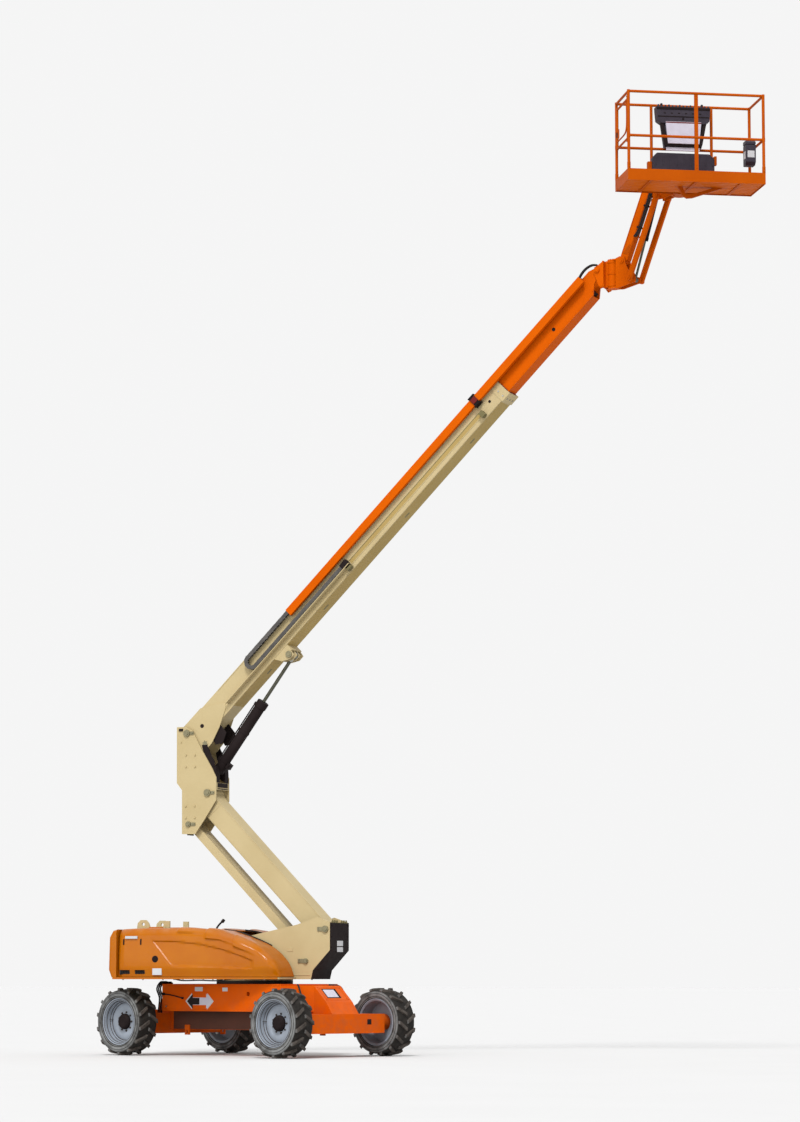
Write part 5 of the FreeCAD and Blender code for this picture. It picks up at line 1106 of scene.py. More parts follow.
@dataclass
class Turntable:
    """Frame between the hoods, counterweight, power units and the black front cover."""

    cheek: float = 0.310
    keeper: float = 0.322
    deck_low: float = 1.030
    deck_side: float = 0.8802
    cover: float = 1.256

    def build_cheeks(self) -> None:
        """Add pin caps with keepers, deck edges, cheek plates and deck bolts."""
        caps = Shape("cheek_pin_caps", MACHINE)
        tower, link = joint_place("tower_lift"), joint_place("tension_link_turn")
        for spot, size in ((tower, 0.055), (link, 0.044)):
            for side in SIDES:
                across, up = spot.x - SWING_X, spot.z
                caps.stud(side, (across, up), self.cheek, self.cheek + 0.026, size * 0.8, 32)
                caps.stud(side, (across, up), self.cheek, self.cheek + 0.034, size * 0.5, 24)
                face = (across - 0.115, up - 0.028, across - 0.020, up + 0.028)
                caps.plates(self.cheek, self.keeper, (face,), (side,))
                seats = [(across - 0.095, side * self.keeper, up + shift) for shift in (-0.016, 0.016)]
                caps.bolts(seats, (0, side, 0), size=0.008)
        caps.finish("turntable", Finish.PIN, bevel=0.002)
        edge = Shape("deck_edges", MACHINE)
        edge.plates(self.deck_side, self.deck_side + 0.0028, ((-1.72, 1.0302, 0.729, 1.0570),))
        edge.finish("turntable", Finish.HOOD, bevel=0.0005)
        plates = Shape("cheek_plates", MACHINE)
        plates.plates(
            self.cheek, self.cheek + 0.006, ((0.62, 1.40, 0.70, 1.455), (0.60, 1.08, 0.95, 1.096))
        )
        plates.finish("turntable", Finish.CREAM, bevel=0.003)
        bolts = Shape("deck_bolts", MACHINE)
        for side in SIDES:
            for spot in (-1.6, -1.3, -1.0, -0.7, -0.4, -0.1, 0.2, 0.5):
                bolts.bolt((spot, side * 0.80, self.deck_low), DOWN, size=0.011)
        bolts.finish("turntable", Finish.STEEL)

    def build_cover(self) -> None:
        """Dress the front cover with plates, bolts and the fittings on its top."""
        labels = Shape("cover_plates", MACHINE)
        for low, high in ((1.475, 1.545), (1.395, 1.460)):
            labels.block((1.2562, -0.10, low), (1.2580, 0.10, high))
        labels.finish("turntable", Finish.LABEL, bevel=0.0005)
        bolts = Shape("cover_bolts", MACHINE)
        seats = [(self.cover, side, level) for side in (-0.285, 0.285) for level in (1.46, 1.60, 1.75)]
        bolts.bolts(seats, AHEAD, size=0.008)
        bolts.finish("turntable", Finish.BLACK)
        fittings = Shape("tower_base_fittings", MACHINE)
        for shift in (-0.235, -0.16, -0.085, 0.085, 0.16, 0.235):
            fittings.rod((1.247, shift, 1.782), (1.247, shift, 1.806), 0.016, 16)
            fittings.rod((1.247, shift, 1.806), (1.247, shift, 1.822), 0.011, 6)
        fittings.block((1.238, -0.27, 1.780), (1.256, 0.27, 1.786))
        fittings.finish("turntable", Finish.OLIVE, bevel=0.001)

    def build_units(self) -> None:
        """Dress the power unit, the battery trays and the stick on top."""
        unit = Shape("power_unit_details", MACHINE)
        for spot in (-0.8, -0.5, -0.2, 0.1):
            unit.block((spot, 0.395, 1.455), (spot + 0.20, 0.78, 1.480))
            unit.rod((spot + 0.10, 0.45, 1.48), (spot + 0.10, 0.45, 1.53), 0.03, 18)
        unit.finish("turntable", Finish.CAST, bevel=0.004)
        cells = Shape("battery_lids", MACHINE)
        for row in range(4):
            for column in range(2):
                low = (-0.88 + 0.295 * row, -0.775 + 0.195 * column, 1.46)
                cells.block(low, (low[0] + 0.27, low[1] + 0.175, 1.50))
                for cap in range(3):
                    across, wide = low[0] + 0.06 + 0.075 * cap, low[1] + 0.088
                    cells.rod((across, wide, 1.50), (across, wide, 1.515), 0.018, 14)
        cells.finish("turntable", Finish.DARK, bevel=0.004)
        stick = Shape("ground_stick", MACHINE)
        stick.tube(
            [(-0.45, -0.30, 1.60), (-0.44, -0.305, 1.70), (-0.40, -0.31, 1.76), (-0.33, -0.31, 1.825)],
            0.013, 10,
        )
        stick.rod((-0.352, -0.31, 1.800), (-0.322, -0.31, 1.833), 0.022, 14)
        stick.finish("turntable", Finish.BLACK, bevel=0.002)
        lines = Shape("under_hood_hoses", MACHINE)
        for shift in (0.0, 0.025):
            lines.tube([
                (-0.95 + shift, -0.58 + shift, 1.036), (-0.80, -0.60 + shift, 1.012),
                (-0.55, -0.61 + shift, 1.016), (-0.30, -0.60 + shift, 1.010),
                (-0.12 + shift, -0.56 + shift, 1.036),
            ], 0.009)
        lines.finish("turntable", Finish.HOSE)

    def build(self) -> None:
        """Build all of the turntable's dressing."""
        dress(("turntable_frame",), Finish.CREAM)
        dress(("front_cover",), Finish.BLACK)
        dress(("counterweight",), Finish.HOOD)
        dress(("power_pack", "battery_pack"), Finish.CAST)
        self.build_cheeks()
        self.build_cover()
        self.build_units()
        for side in SIDES:
            Hood(side).build()


# ---------------------------------------------------------------------------
# Tower boom, tension link and upright
# ---------------------------------------------------------------------------
@dataclass
class Tower:
    """Weld lines, ribs and hoses on the tower boom and the tension link."""

    length: float = 2.592
    side: float = 0.165

    def build(self) -> None:
        """Coat both and add their lines."""
        dress(("tower_boom", "tension_link"), Finish.CREAM)
        seams = Shape("tower_seams", TOWER)
        end = self.length - 0.18
        faces = [(0.18, -0.014, end, -0.006), (0.18, 0.229, end, 0.237)]
        faces += [(spot, 0.02, spot + 0.14, 0.19) for spot in (0.10, self.length - 0.24)]
        seams.plates(self.side, self.side + 0.004, faces)
        seams.finish("tower_boom", Finish.CREAM, bevel=0.0015)
        clips = Shape("tower_clips", TOWER)
        for step in range(5):
            spot = 0.35 + 0.46 * step
            clips.block((spot, -0.055, 0.2455), (spot + 0.05, 0.055, 0.262))
        clips.finish("tower_boom", Finish.STEEL, bevel=0.002)
        hoses = Shape("tower_hoses", TOWER)
        for shift in (-0.036, -0.012, 0.012, 0.036):
            hoses.tube(
                [
                    (0.22, shift, 0.238), (0.38, shift, 0.2535), (1.3, shift, 0.2535), (2.2, shift, 0.2535),
                    (2.37, shift, 0.240),
                ],
                0.0085,
            )
        hoses.finish("tower_boom", Finish.HOSE)
        rings = Shape("link_bosses", LINK)
        for spot in (0.0, self.length):
            for side in SIDES:
                rings.stud(side, (spot, 0), 0.131, 0.150, 0.050, 28)
        rings.finish("tension_link", Finish.CREAM, bevel=0.003)


@dataclass
class Upright:
    """Pins, bolt patterns, hoses, guards and a dark sheet of painted shade between the plates of the upright.
    """

    wall: float = 0.22
    inner: float = 0.20
    keeper: float = 0.23

    def build_pins(self) -> None:
        """Add pin caps with keepers, and the square bolt patterns."""
        caps = Shape("upright_pin_caps", UPRIGHT)
        for across, up, size in ((0.0, 0.0, 0.058), (-0.284, -0.426, 0.044), (-0.316, 0.822, 0.056)):
            for side in SIDES:
                caps.stud(side, (across, up), self.wall, self.wall + 0.022, size * 0.86, 32)
                caps.stud(side, (across, up), self.wall, self.wall + 0.030, size * 0.5, 24)
                face = (across + 0.02, up - 0.022, across + 0.105, up + 0.022)
                caps.plates(self.wall, self.keeper, (face,), (side,))
                caps.bolt((across + 0.088, side * self.keeper, up), (0, side, 0), size=0.008)
        caps.finish("upright", Finish.PIN, bevel=0.002)
        heads = Shape("upright_bolts", UPRIGHT)
        for side in SIDES:
            for middle in (0.44, -0.259):
                for across in (-0.325, -0.19):
                    for up in (-0.08, 0.08):
                        heads.bolt((across, side * self.wall, middle + up), (0, side, 0), size=0.012)
            heads.bolt((-0.40, side * self.wall, 0.70), (0, side, 0), size=0.010)
        heads.finish("upright", Finish.CREAM)
        keeper = Shape("upright_retainer", UPRIGHT)
        keeper.plates(self.wall, self.wall + 0.014, ((-0.435, 0.852, -0.375, 0.886),))
        keeper.finish("upright", Finish.BLACK, bevel=0.003)

    def build_front(self) -> None:
        """Add the dark guards between the plates, black sheets of painted shade on the plates' inner faces,
        and the hoses at both ends.
        """
        guard = Shape("upright_guards", UPRIGHT)
        guard.block((0.1255, -0.165, 0.075), (0.1290, 0.165, 0.136))
        guard.block((0.1255, -0.165, 0.050), (0.1290, 0.165, 0.062))
        guard.finish("upright", Finish.BLACK, bevel=0.001)
        hoses = Shape("upright_hoses", UPRIGHT)
        for shift in (-0.12, -0.08, -0.04, 0.0, 0.04):
            hoses.tube([
                (-0.33, shift, -0.30), (-0.335, shift, -0.45), (-0.34, shift, -0.545),
                (-0.335 + 0.01 * shift, shift, -0.572),
            ], 0.012)
            hoses.tube([
                (-0.34, shift, 0.10), (-0.38, shift, 0.30), (-0.42, shift, 0.50), (-0.41, shift, 0.66),
                (-0.36, shift, 0.76),
            ], 0.012)
        hoses.finish("upright", Finish.HOSE)
        # Black sheets on the plates' inner faces: painted shade between the plates.
        inner_shade_sheet = Shape("upright_inner_shade", UPRIGHT)
        for side in SIDES:
            wall = sorted((side * self.inner, side * (self.inner - 0.0008)))
            inner_shade_sheet.prism(
                Plane.SIDE, [(-0.02, 0.36), (0.10, 0.36), (0.10, 0.42), (-0.02, 0.66), (-0.10, 0.66)],
                *wall,
            )
        inner_shade_sheet.finish("upright", Finish.BLACK)

    def build(self) -> None:
        """Coat the upright and add its parts."""
        dress(("upright",), Finish.CREAM)
        dress(("lift_bracket",), Finish.BLACK)
        self.build_pins()
        self.build_front()


# ---------------------------------------------------------------------------
# Main boom
# ---------------------------------------------------------------------------
@dataclass
class MainBoom:
    """Side panels, slots, pads, pins, fittings and lines of the main boom."""

    half: float = 0.17
    low: float = -0.225
    guide: float = 6.05
    lift_lug: Flat = (1.802, -0.338)
    level_pin: Flat = (0.081, -0.288)
    collar: float = 6.40
    tube_far: float = -0.253
    tube_near: float = -0.191

    def build_sides(self) -> None:
        """Add stiffening panels to the sides; darker sheets as painted shade in the side band and under the
        boom, a dark line of painted shadow under the band's top edge, black discs as painted shade in the
        holes, and olive patches as painted shade for the slots below.
        """
        panels = Shape("boom_side_panels", BOOM)
        faces = (
            (3.12, -0.220, 3.17, 0.095), (3.30, -0.093, 6.05, -0.083), (3.30, -0.162, 6.05, -0.152),
            (3.30, -0.162, 3.31, -0.083), (6.04, -0.162, 6.05, -0.083), (0.72, -0.222, 6.33, -0.214),
            (0.72, 0.086, 6.33, 0.094),
        )
        panels.plates(self.half, self.half + 0.005, faces)
        panels.finish("main_boom", Finish.CREAM, bevel=0.0015)
        # Darker cream sheets in the side band and under the boom: painted shade.
        shade_sheets = Shape("boom_painted_shade_sheets", BOOM)
        shade_sheets.plates(self.half, self.half + 0.001, ((3.31, -0.152, 6.04, -0.100),))
        shade_sheets.block((0.74, -0.160, self.low - 0.0008), (6.32, 0.160, self.low + 0.001))
        shade_sheets.finish("main_boom", Finish.BOOM_SHADE)
        # A dark olive line under the band's upper edge: painted shadow of that edge.
        band_shadow_line = Shape("boom_band_shadow_line", BOOM)
        band_shadow_line.plates(self.half, self.half + 0.002, ((3.30, -0.100, 6.05, -0.093),))
        band_shadow_line.finish("main_boom", Finish.OLIVE)
        # The black discs stand for the holes' shaded insides: painted shade.
        holes = Shape("boom_holes", BOOM)
        for side in SIDES:
            holes.stud(side, (6.219, -0.100), self.half, self.half + 0.0015, 0.020, 24)
            holes.stud(side, (0.219, -0.083), 0.186, 0.1875, 0.028, 24)
            holes.stud(side, (0.029, -0.081), 0.186, 0.1875, 0.016, 20)
        holes.finish("main_boom", Finish.BLACK)
        # Olive patches for the slots under the boom: painted shade of their insides.
        slots = Shape("boom_slots", BOOM)
        for spot in (1.35, 2.55, 4.25, 5.60):
            slots.block((spot, -0.022, self.low - 0.0012), (spot + 0.09, 0.022, self.low + 0.001))
        slots.finish("main_boom", Finish.OLIVE)

    def build_ends(self) -> None:
        """Add pin rings at the pivot and the lug, and pads with bolts at the collar."""
        pins = Shape("boom_pins", BOOM)
        for side in SIDES:
            pins.stud(side, self.lift_lug, 0.170, 0.190, 0.045, 28)
            pins.stud(side, self.lift_lug, 0.170, 0.196, 0.024, 24)
            pins.stud(side, self.level_pin, 0.194, 0.199, 0.030, 28)
            middle_x, middle_z = self.level_pin
            ring = [(middle_x + across, side * 0.194, middle_z + up) for across, up in circle(0.037, 6)]
            pins.bolts(ring, (0, side, 0), size=0.005)
        pins.finish("main_boom", Finish.PIN, bevel=0.0015)
        ring = Shape("boom_collar_bolts", BOOM)
        for side in SIDES:
            for up in (-0.19, -0.10, 0.0, 0.07):
                ring.bolt((self.collar, side * 0.176, up), (0, side, 0), size=0.009)
            for across in (-0.10, 0.0, 0.10):
                ring.bolt((self.collar, across, 0.114 if side > 0 else -0.239), (0, 0, side), size=0.009)
        ring.finish("main_boom", Finish.STEEL)
        pads = Shape("boom_wear_pads", BOOM)
        pads.plates(0.1405, 0.168, ((6.490, -0.18, 6.498, -0.06), (6.490, -0.02, 6.498, 0.06)))
        pads.block((6.490, -0.10, -0.226), (6.498, 0.10, -0.200))
        pads.block((6.490, -0.10, 0.080), (6.498, 0.10, 0.104))
        pads.finish("main_boom", Finish.RED, bevel=0.001)

    def build_guides(self) -> None:
        """Dress the hose tube's guide and add the stops beside it."""
        blocks = Shape("guide_blocks", BOOM)
        for low, high in ((0.1105, 0.122), (-0.036, -0.0245)):
            blocks.block(
                (self.guide - 0.012, self.tube_far - 0.014, low), (self.guide + 0.102, -0.172, high)
            )
        blocks.finish("main_boom", Finish.BLACK, bevel=0.003)
        pad = Shape("guide_pads", BOOM)
        low_y, high_y = self.tube_far - 0.022, self.tube_far - 0.0145
        pad.block((self.guide + 0.005, low_y, 0.005), (self.guide + 0.085, high_y, 0.083))
        pad.finish("main_boom", Finish.RED, bevel=0.003)
        olive = Shape("guide_stop", BOOM)
        olive.block((6.00, -0.245, -0.200), (6.07, -0.1705, -0.120))
        olive.block((3.215, -0.250, -0.205), (3.300, -0.1705, -0.170))
        olive.finish("main_boom", Finish.OLIVE, bevel=0.004)

    def build_track(self) -> None:
        """Build the power track link by link round its turn."""
        middle_z = -0.023
        radius, thick = 0.081, 0.031
        turn_x, upper_x, lower_x = 1.368, 2.214, 3.210
        pitch = 0.062
        line: list[tuple[Vector, float]] = []
        spot = upper_x - pitch / 2
        while spot > turn_x:
            line.append((Vector((spot, 0, middle_z + radius)), 180.0))
            spot -= pitch
        count = int(math.pi * radius / pitch)
        for step in range(count + 1):
            angle = 90.0 + 180.0 * (step + 0.5) / (count + 1)
            reach = Vector((math.cos(math.radians(angle)), 0, math.sin(math.radians(angle))))
            line.append((Vector((turn_x, 0, middle_z)) + reach * radius, angle + 90.0))
        spot = turn_x + pitch / 2
        while spot < lower_x:
            line.append((Vector((spot, 0, middle_z - radius)), 0.0))
            spot += pitch
        links = Shape("power_track_links", BOOM)
        bars = Shape("power_track_bars", BOOM)
        for index, (middle, angle) in enumerate(line):
            turn = Matrix.Translation(middle) @ Matrix.Rotation(math.radians(-angle), 4, "Y")
            for side in (self.tube_far + 0.004, self.tube_near - 0.012):
                side += 0.003 if index % 2 else 0.0
                outline = [
                    *arc_points((pitch * 0.36, 0), thick * 0.86, -80, 80, 6),
                    *arc_points((-pitch * 0.36, 0), thick * 0.86, 100, 260, 6),
                ]
                rings = [
                    [turn @ Vector((across, level, up)) for across, up in outline]
                    for level in (side, side + 0.006)
                ]
                links.loft(rings)
            for level in (thick * 0.80, -thick * 0.80):
                low = turn @ Vector((-0.010, self.tube_far + 0.008, level))
                high = turn @ Vector((-0.010, self.tube_near - 0.008, level))
                bars.rod(low, high, 0.0045, 8)
        chain = links.finish("main_boom", Finish.LINKS, bevel=0.0)
        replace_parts(chain, "power_track")
        bars.finish("main_boom", Finish.STEEL)
        hoses = Shape("power_track_hoses", BOOM)
        for shift in (-0.238, -0.222, -0.206):
            hoses.tube([
                (upper_x - 0.01, shift, middle_z + radius), (1.80, shift, middle_z + radius),
                (turn_x, shift, middle_z + radius - 0.003), (turn_x - 0.060, shift, middle_z + 0.055),
                (turn_x - 0.078, shift, middle_z), (turn_x - 0.060, shift, middle_z - 0.055),
                (turn_x, shift, middle_z - radius + 0.003), (2.2, shift, middle_z - radius),
                (lower_x, shift, middle_z - radius),
            ], 0.0065, 8)
        hoses.finish("main_boom", Finish.HOSE)
        ends = Shape("track_end_bracket", BOOM)
        ends.block((3.212, -0.250, -0.150), (3.300, -0.172, -0.060))
        ends.block((3.18, -0.254, -0.066), (3.30, -0.246, -0.140))
        ends.bolts([(3.24, -0.250, -0.125), (3.24, -0.250, -0.085)], RIGHT, size=0.007)
        ends.finish("main_boom", Finish.BLACK, bevel=0.003)

    def build_pivot_lines(self) -> None:
        """Add the levelling hoses at the pivot end of the boom and the guard round them."""
        lines = Shape("boom_pivot_hoses", BOOM)
        for shift in (-0.09, -0.03, 0.03, 0.09):
            lines.tube([
                (0.60, shift, 0.02), (0.42, shift, 0.03), (0.30, shift, -0.02), (0.24, shift, -0.12),
                (0.20, shift, -0.22), (0.24, shift, -0.30),
            ], 0.011)
        lines.finish("main_boom", Finish.HOSE)
        guard = Shape("boom_foot_guard", BOOM)
        for side in SIDES:
            wall = sorted((side * 0.150, side * 0.158))
            guard.prism(
                Plane.SIDE, [(0.22, -0.226), (0.42, -0.226), (0.40, -0.40), (0.25, -0.47), (0.17, -0.40)],
                *wall,
            )
        guard.finish("main_boom", Finish.BLACK, bevel=0.002)

    def build_cylinder(self) -> None:
        """Add ports, a gland ring and pipe lines to the lift cylinder."""
        lug = joint_place("lift_rod_turn")
        foot = Vector((UPRIGHT.translation.x + 0.072, 0, UPRIGHT.translation.z + 0.320))
        lean = math.degrees(math.atan2(lug.z - foot.z, lug.x - foot.x))
        place = turned_place(foot, "Y", -lean)
        gland = Shape("lift_gland", place)
        gland.lathe(
            (1.10, 0, 0), AHEAD,
            [(-0.06, 0.0755), (-0.06, 0.084), (0.030, 0.084), (0.036, 0.078), (0.036, 0.0755)], 40,
        )
        for spot in (0.14, 0.62):
            gland.lathe((spot, 0, 0), AHEAD, hoop(0, 0.03, 0.0755, 0.080), 40)
        gland.finish("lift_barrel", Finish.BLACK, bevel=0.002)
        pipe = Shape("lift_pipe", place)
        pipe.tube(
            [
                (0.16, 0.0, 0.094), (0.30, 0.0, 0.094), (0.80, 0.0, 0.094), (1.02, 0.0, 0.094),
                (1.06, 0.0, 0.082),
            ],
            0.009,
        )
        pipe.block((0.10, -0.025, 0.074), (0.17, 0.025, 0.104))
        pipe.block((1.03, -0.020, 0.076), (1.075, 0.020, 0.100))
        pipe.block((0.085, -0.045, -0.125), (0.165, 0.045, -0.070))
        pipe.block((0.125, -0.060, -0.112), (0.145, 0.060, -0.085))
        pipe.finish("lift_barrel", Finish.BLACK, bevel=0.001)
        eye = Shape("lift_rod_collar", place)
        length = (lug - foot).length
        eye.rod((length - 0.10, 0, 0), (length - 0.045, 0, 0), 0.032, 24)
        eye.finish("lift_rod", Finish.STEEL, bevel=0.002)

    def build(self) -> None:
        """Coat the boom and add everything on it."""
        dress(("boom_base", "boom_collar", "track_tray"), Finish.CREAM)
        dress(("tube_guide", "lift_barrel"), Finish.BLACK)
        dress(("lift_rod",), Finish.CHROME)
        self.build_sides()
        self.build_ends()
        self.build_guides()
        self.build_track()
        self.build_pivot_lines()
        self.build_cylinder()


@dataclass
class FlyBoom:
    """Fittings on the extending boom and its hose tube."""

    half: float = 0.138
    cheek: float = 0.161
    near: float = 6.55
    far: float = 8.06
    pin_plate: float = 8.25

    def build(self) -> None:
        """Coat the fly boom and add its parts."""
        dress(("fly_boom", "hose_tube"), Finish.FLY)
        tip = joint_place("tip_level")
        spot = BOOM.inverted() @ tip
        pins = Shape("fly_pins", BOOM)
        for side in SIDES:
            pins.stud(side, (spot.x, spot.z), self.cheek, 0.182, 0.034, 28)
            pins.stud(side, (spot.x, spot.z), self.cheek, 0.188, 0.022, 24)
            for up in (-0.15, 0.03):
                pins.bolt((self.pin_plate, side * self.half, up), (0, side, 0), size=0.009)
        pins.finish("fly_boom", Finish.FLY, bevel=0.0015)
        trim = Shape("fly_trim", BOOM)
        faces = ((self.near, 0.052, self.far, 0.060), (self.near, -0.182, self.far, -0.174))
        trim.plates(self.half, self.half + 0.002, faces)
        trim.block((8.21, -0.143, 0.0765), (8.27, 0.143, 0.090))
        trim.finish("fly_boom", Finish.FLY, bevel=0.002)
        # The black discs stand for the holes' shaded insides: painted shade.
        marks = Shape("fly_holes", BOOM)
        for side in SIDES:
            marks.stud(side, (7.514, -0.095), self.half, self.half + 0.0015, 0.026, 24)
        marks.block((8.205, -0.111, -0.150), (8.245, 0.111, -0.050))
        marks.finish("fly_boom", Finish.BLACK)
        hoses = Shape("fly_hoses", BOOM)
        for shift in (-0.236, -0.218, -0.202):
            hoses.tube([
                (8.20, shift, 0.060), (8.30, shift + 0.03, 0.105), (8.40, shift + 0.06, 0.122),
                (8.49, shift + 0.07, 0.095), (8.54, shift + 0.07, 0.040),
            ], 0.012)
        hoses.finish("fly_boom", Finish.HOSE)


# ---------------------------------------------------------------------------
# Levelled tip and jib
# ---------------------------------------------------------------------------
@dataclass
class Jib:
    """Fittings on the levelled tip, the swing actuator, the jib and its cylinder."""

    low: float = 10.205
    high: float = 10.560
    beam_pin: Flat = (0.190, 10.535)
    cylinder_pin: Flat = (0.354, 10.270)
    rod_eye: Flat = (0.71051, 11.40193)
    support_beam_pin: Flat = (0.62802, 11.59507)
    support_link_pin: Flat = (0.79202, 11.33007)
    stroke_out: float = 0.65

    def build_tip(self) -> None:
        """Dress the tip plates and the swing actuator."""
        dress(("tip_knuckle", "jib_bracket"), Finish.FLY)
        rings = Shape("actuator_rings", TIP)
        for level in (self.low + 0.012, self.low + 0.17, self.high - 0.030):
            rings.lathe((0, 0, level), UP, hoop(0, 0.018, 0.0785, 0.085), 36)
        rings.finish("boom_tip", Finish.FLY, bevel=0.002)
        caps = Shape("tip_bolts", TIP)
        caps.bolts([(*spot, self.high + 0.0203) for spot in circle(0.056, 10)], UP, size=0.007)
        caps.finish("jib_bracket", Finish.FLY)
        tip = TIP.inverted() @ joint_place("tip_level")
        pins = Shape("tip_pins", TIP)
        for side in SIDES:
            pins.stud(side, (tip.x + 0.066, tip.z - 0.208), 0.160, 0.176, 0.032, 24)
            pins.stud(side, (tip.x + 0.066, tip.z - 0.208), 0.160, 0.184, 0.032 * 0.55, 20)
        pins.finish("boom_tip", Finish.FLY, bevel=0.0015)

    def build_arms(self) -> None:
        """Dress the beam, the parallel links and the pins that carry them."""
        dress(("jib_beam", "jib_links", "platform_support"), Finish.FLY)
        dress(("jib_barrel",), Finish.BLACK)
        dress(("jib_rod",), Finish.CHROME)
        edge = Shape("jib_edge_strips", JIB_BEAM)
        for side in SIDES:
            edge.plates(0.050, 0.0535, ((0.10, 0.044, 1.04, 0.056), (0.10, -0.056, 1.04, -0.044)), (side,))
            gusset = [(0.10, -0.035), (0.10, 0.035), (0.24, -0.012), (0.24, -0.035)]
            edge.prism(Plane.SIDE, gusset, *sorted((side * 0.050, side * 0.0535)))
        edge.finish("jib_beam", Finish.CAGE, bevel=0.0015)
        caps = Shape("jib_pin_caps", JIB)
        for spot, reach in ((self.beam_pin, 0.081), (self.cylinder_pin, 0.173)):
            for side in SIDES:
                caps.stud(side, spot, reach, reach + 0.008, 0.030, 24)
                caps.bolt((spot[0], side * (reach + 0.008), spot[1]), (0, side, 0), size=0.009)
        caps.finish("jib_bracket", Finish.FLY, bevel=0.0015)
        heads = Shape("support_pin_caps", JIB)
        for spot, reach in ((self.support_beam_pin, 0.081), (self.support_link_pin, 0.173)):
            for side in SIDES:
                heads.stud(side, spot, reach, reach + 0.006, 0.030, 24)
                heads.bolt((spot[0], side * (reach + 0.006), spot[1]), (0, side, 0), size=0.009)
        heads.finish("platform_support", Finish.FLY, bevel=0.0015)

    def build_lines(self) -> None:
        """Add the hose bundle along the jib and the cylinder's fittings."""
        hoses = Shape("jib_hoses", JIB_BEAM)
        for shift, drop in (
            (-0.060, -0.078), (-0.063, -0.098), (-0.060, -0.118), (0.060, -0.088), (0.062, -0.108)
        ):
            hoses.tube([
                (0.36, shift, drop + 0.03), (0.43, shift, drop), (0.55, shift * 1.02, drop - 0.012),
                (0.85, shift, drop), (1.02, shift, drop + 0.012), (1.10, shift, drop + 0.045),
            ], 0.0085)
        hoses.finish("jib_beam", Finish.HOSE)
        clips = Shape("jib_hose_clips", JIB_BEAM)
        for spot in (0.48, 0.78):
            for side in (-1, 1):
                clips.plates(0.0505, 0.076, ((spot, -0.132, spot + 0.025, -0.054),), (side,))
        clips.finish("jib_beam", Finish.BLACK, bevel=0.002)
        foot = Vector((self.cylinder_pin[0], 0, self.cylinder_pin[1]))
        lug = Vector((self.rod_eye[0], 0, self.rod_eye[1]))
        lean = math.degrees(math.atan2(lug.z - foot.z, lug.x - foot.x))
        place = JIB @ turned_place(foot, "Y", -lean)
        start = (lug - foot).length - self.stroke_out
        gland = Shape("jib_cylinder_gland", place)
        gland.lathe(
            (start, 0, 0), AHEAD,
            [(-0.004, 0.0205), (-0.004, 0.040), (0.045, 0.040), (0.050, 0.0365), (0.050, 0.0205)], 32,
        )
        gland.block((start + 0.02, -0.016, 0.030), (start + 0.06, 0.016, 0.052))
        gland.block((start + 0.52, -0.016, 0.030), (start + 0.56, 0.016, 0.052))
        gland.tube(
            [
                (start + 0.05, 0, 0.048), (start + 0.2, 0, 0.048), (start + 0.4, 0, 0.048),
                (start + 0.53, 0, 0.048),
            ],
            0.005,
        )
        gland.finish("jib_barrel", Finish.BLACK, bevel=0.0015)

    def build(self) -> None:
        """Build all of the tip's and the jib's dressing."""
        self.build_tip()
        self.build_arms()
        self.build_lines()


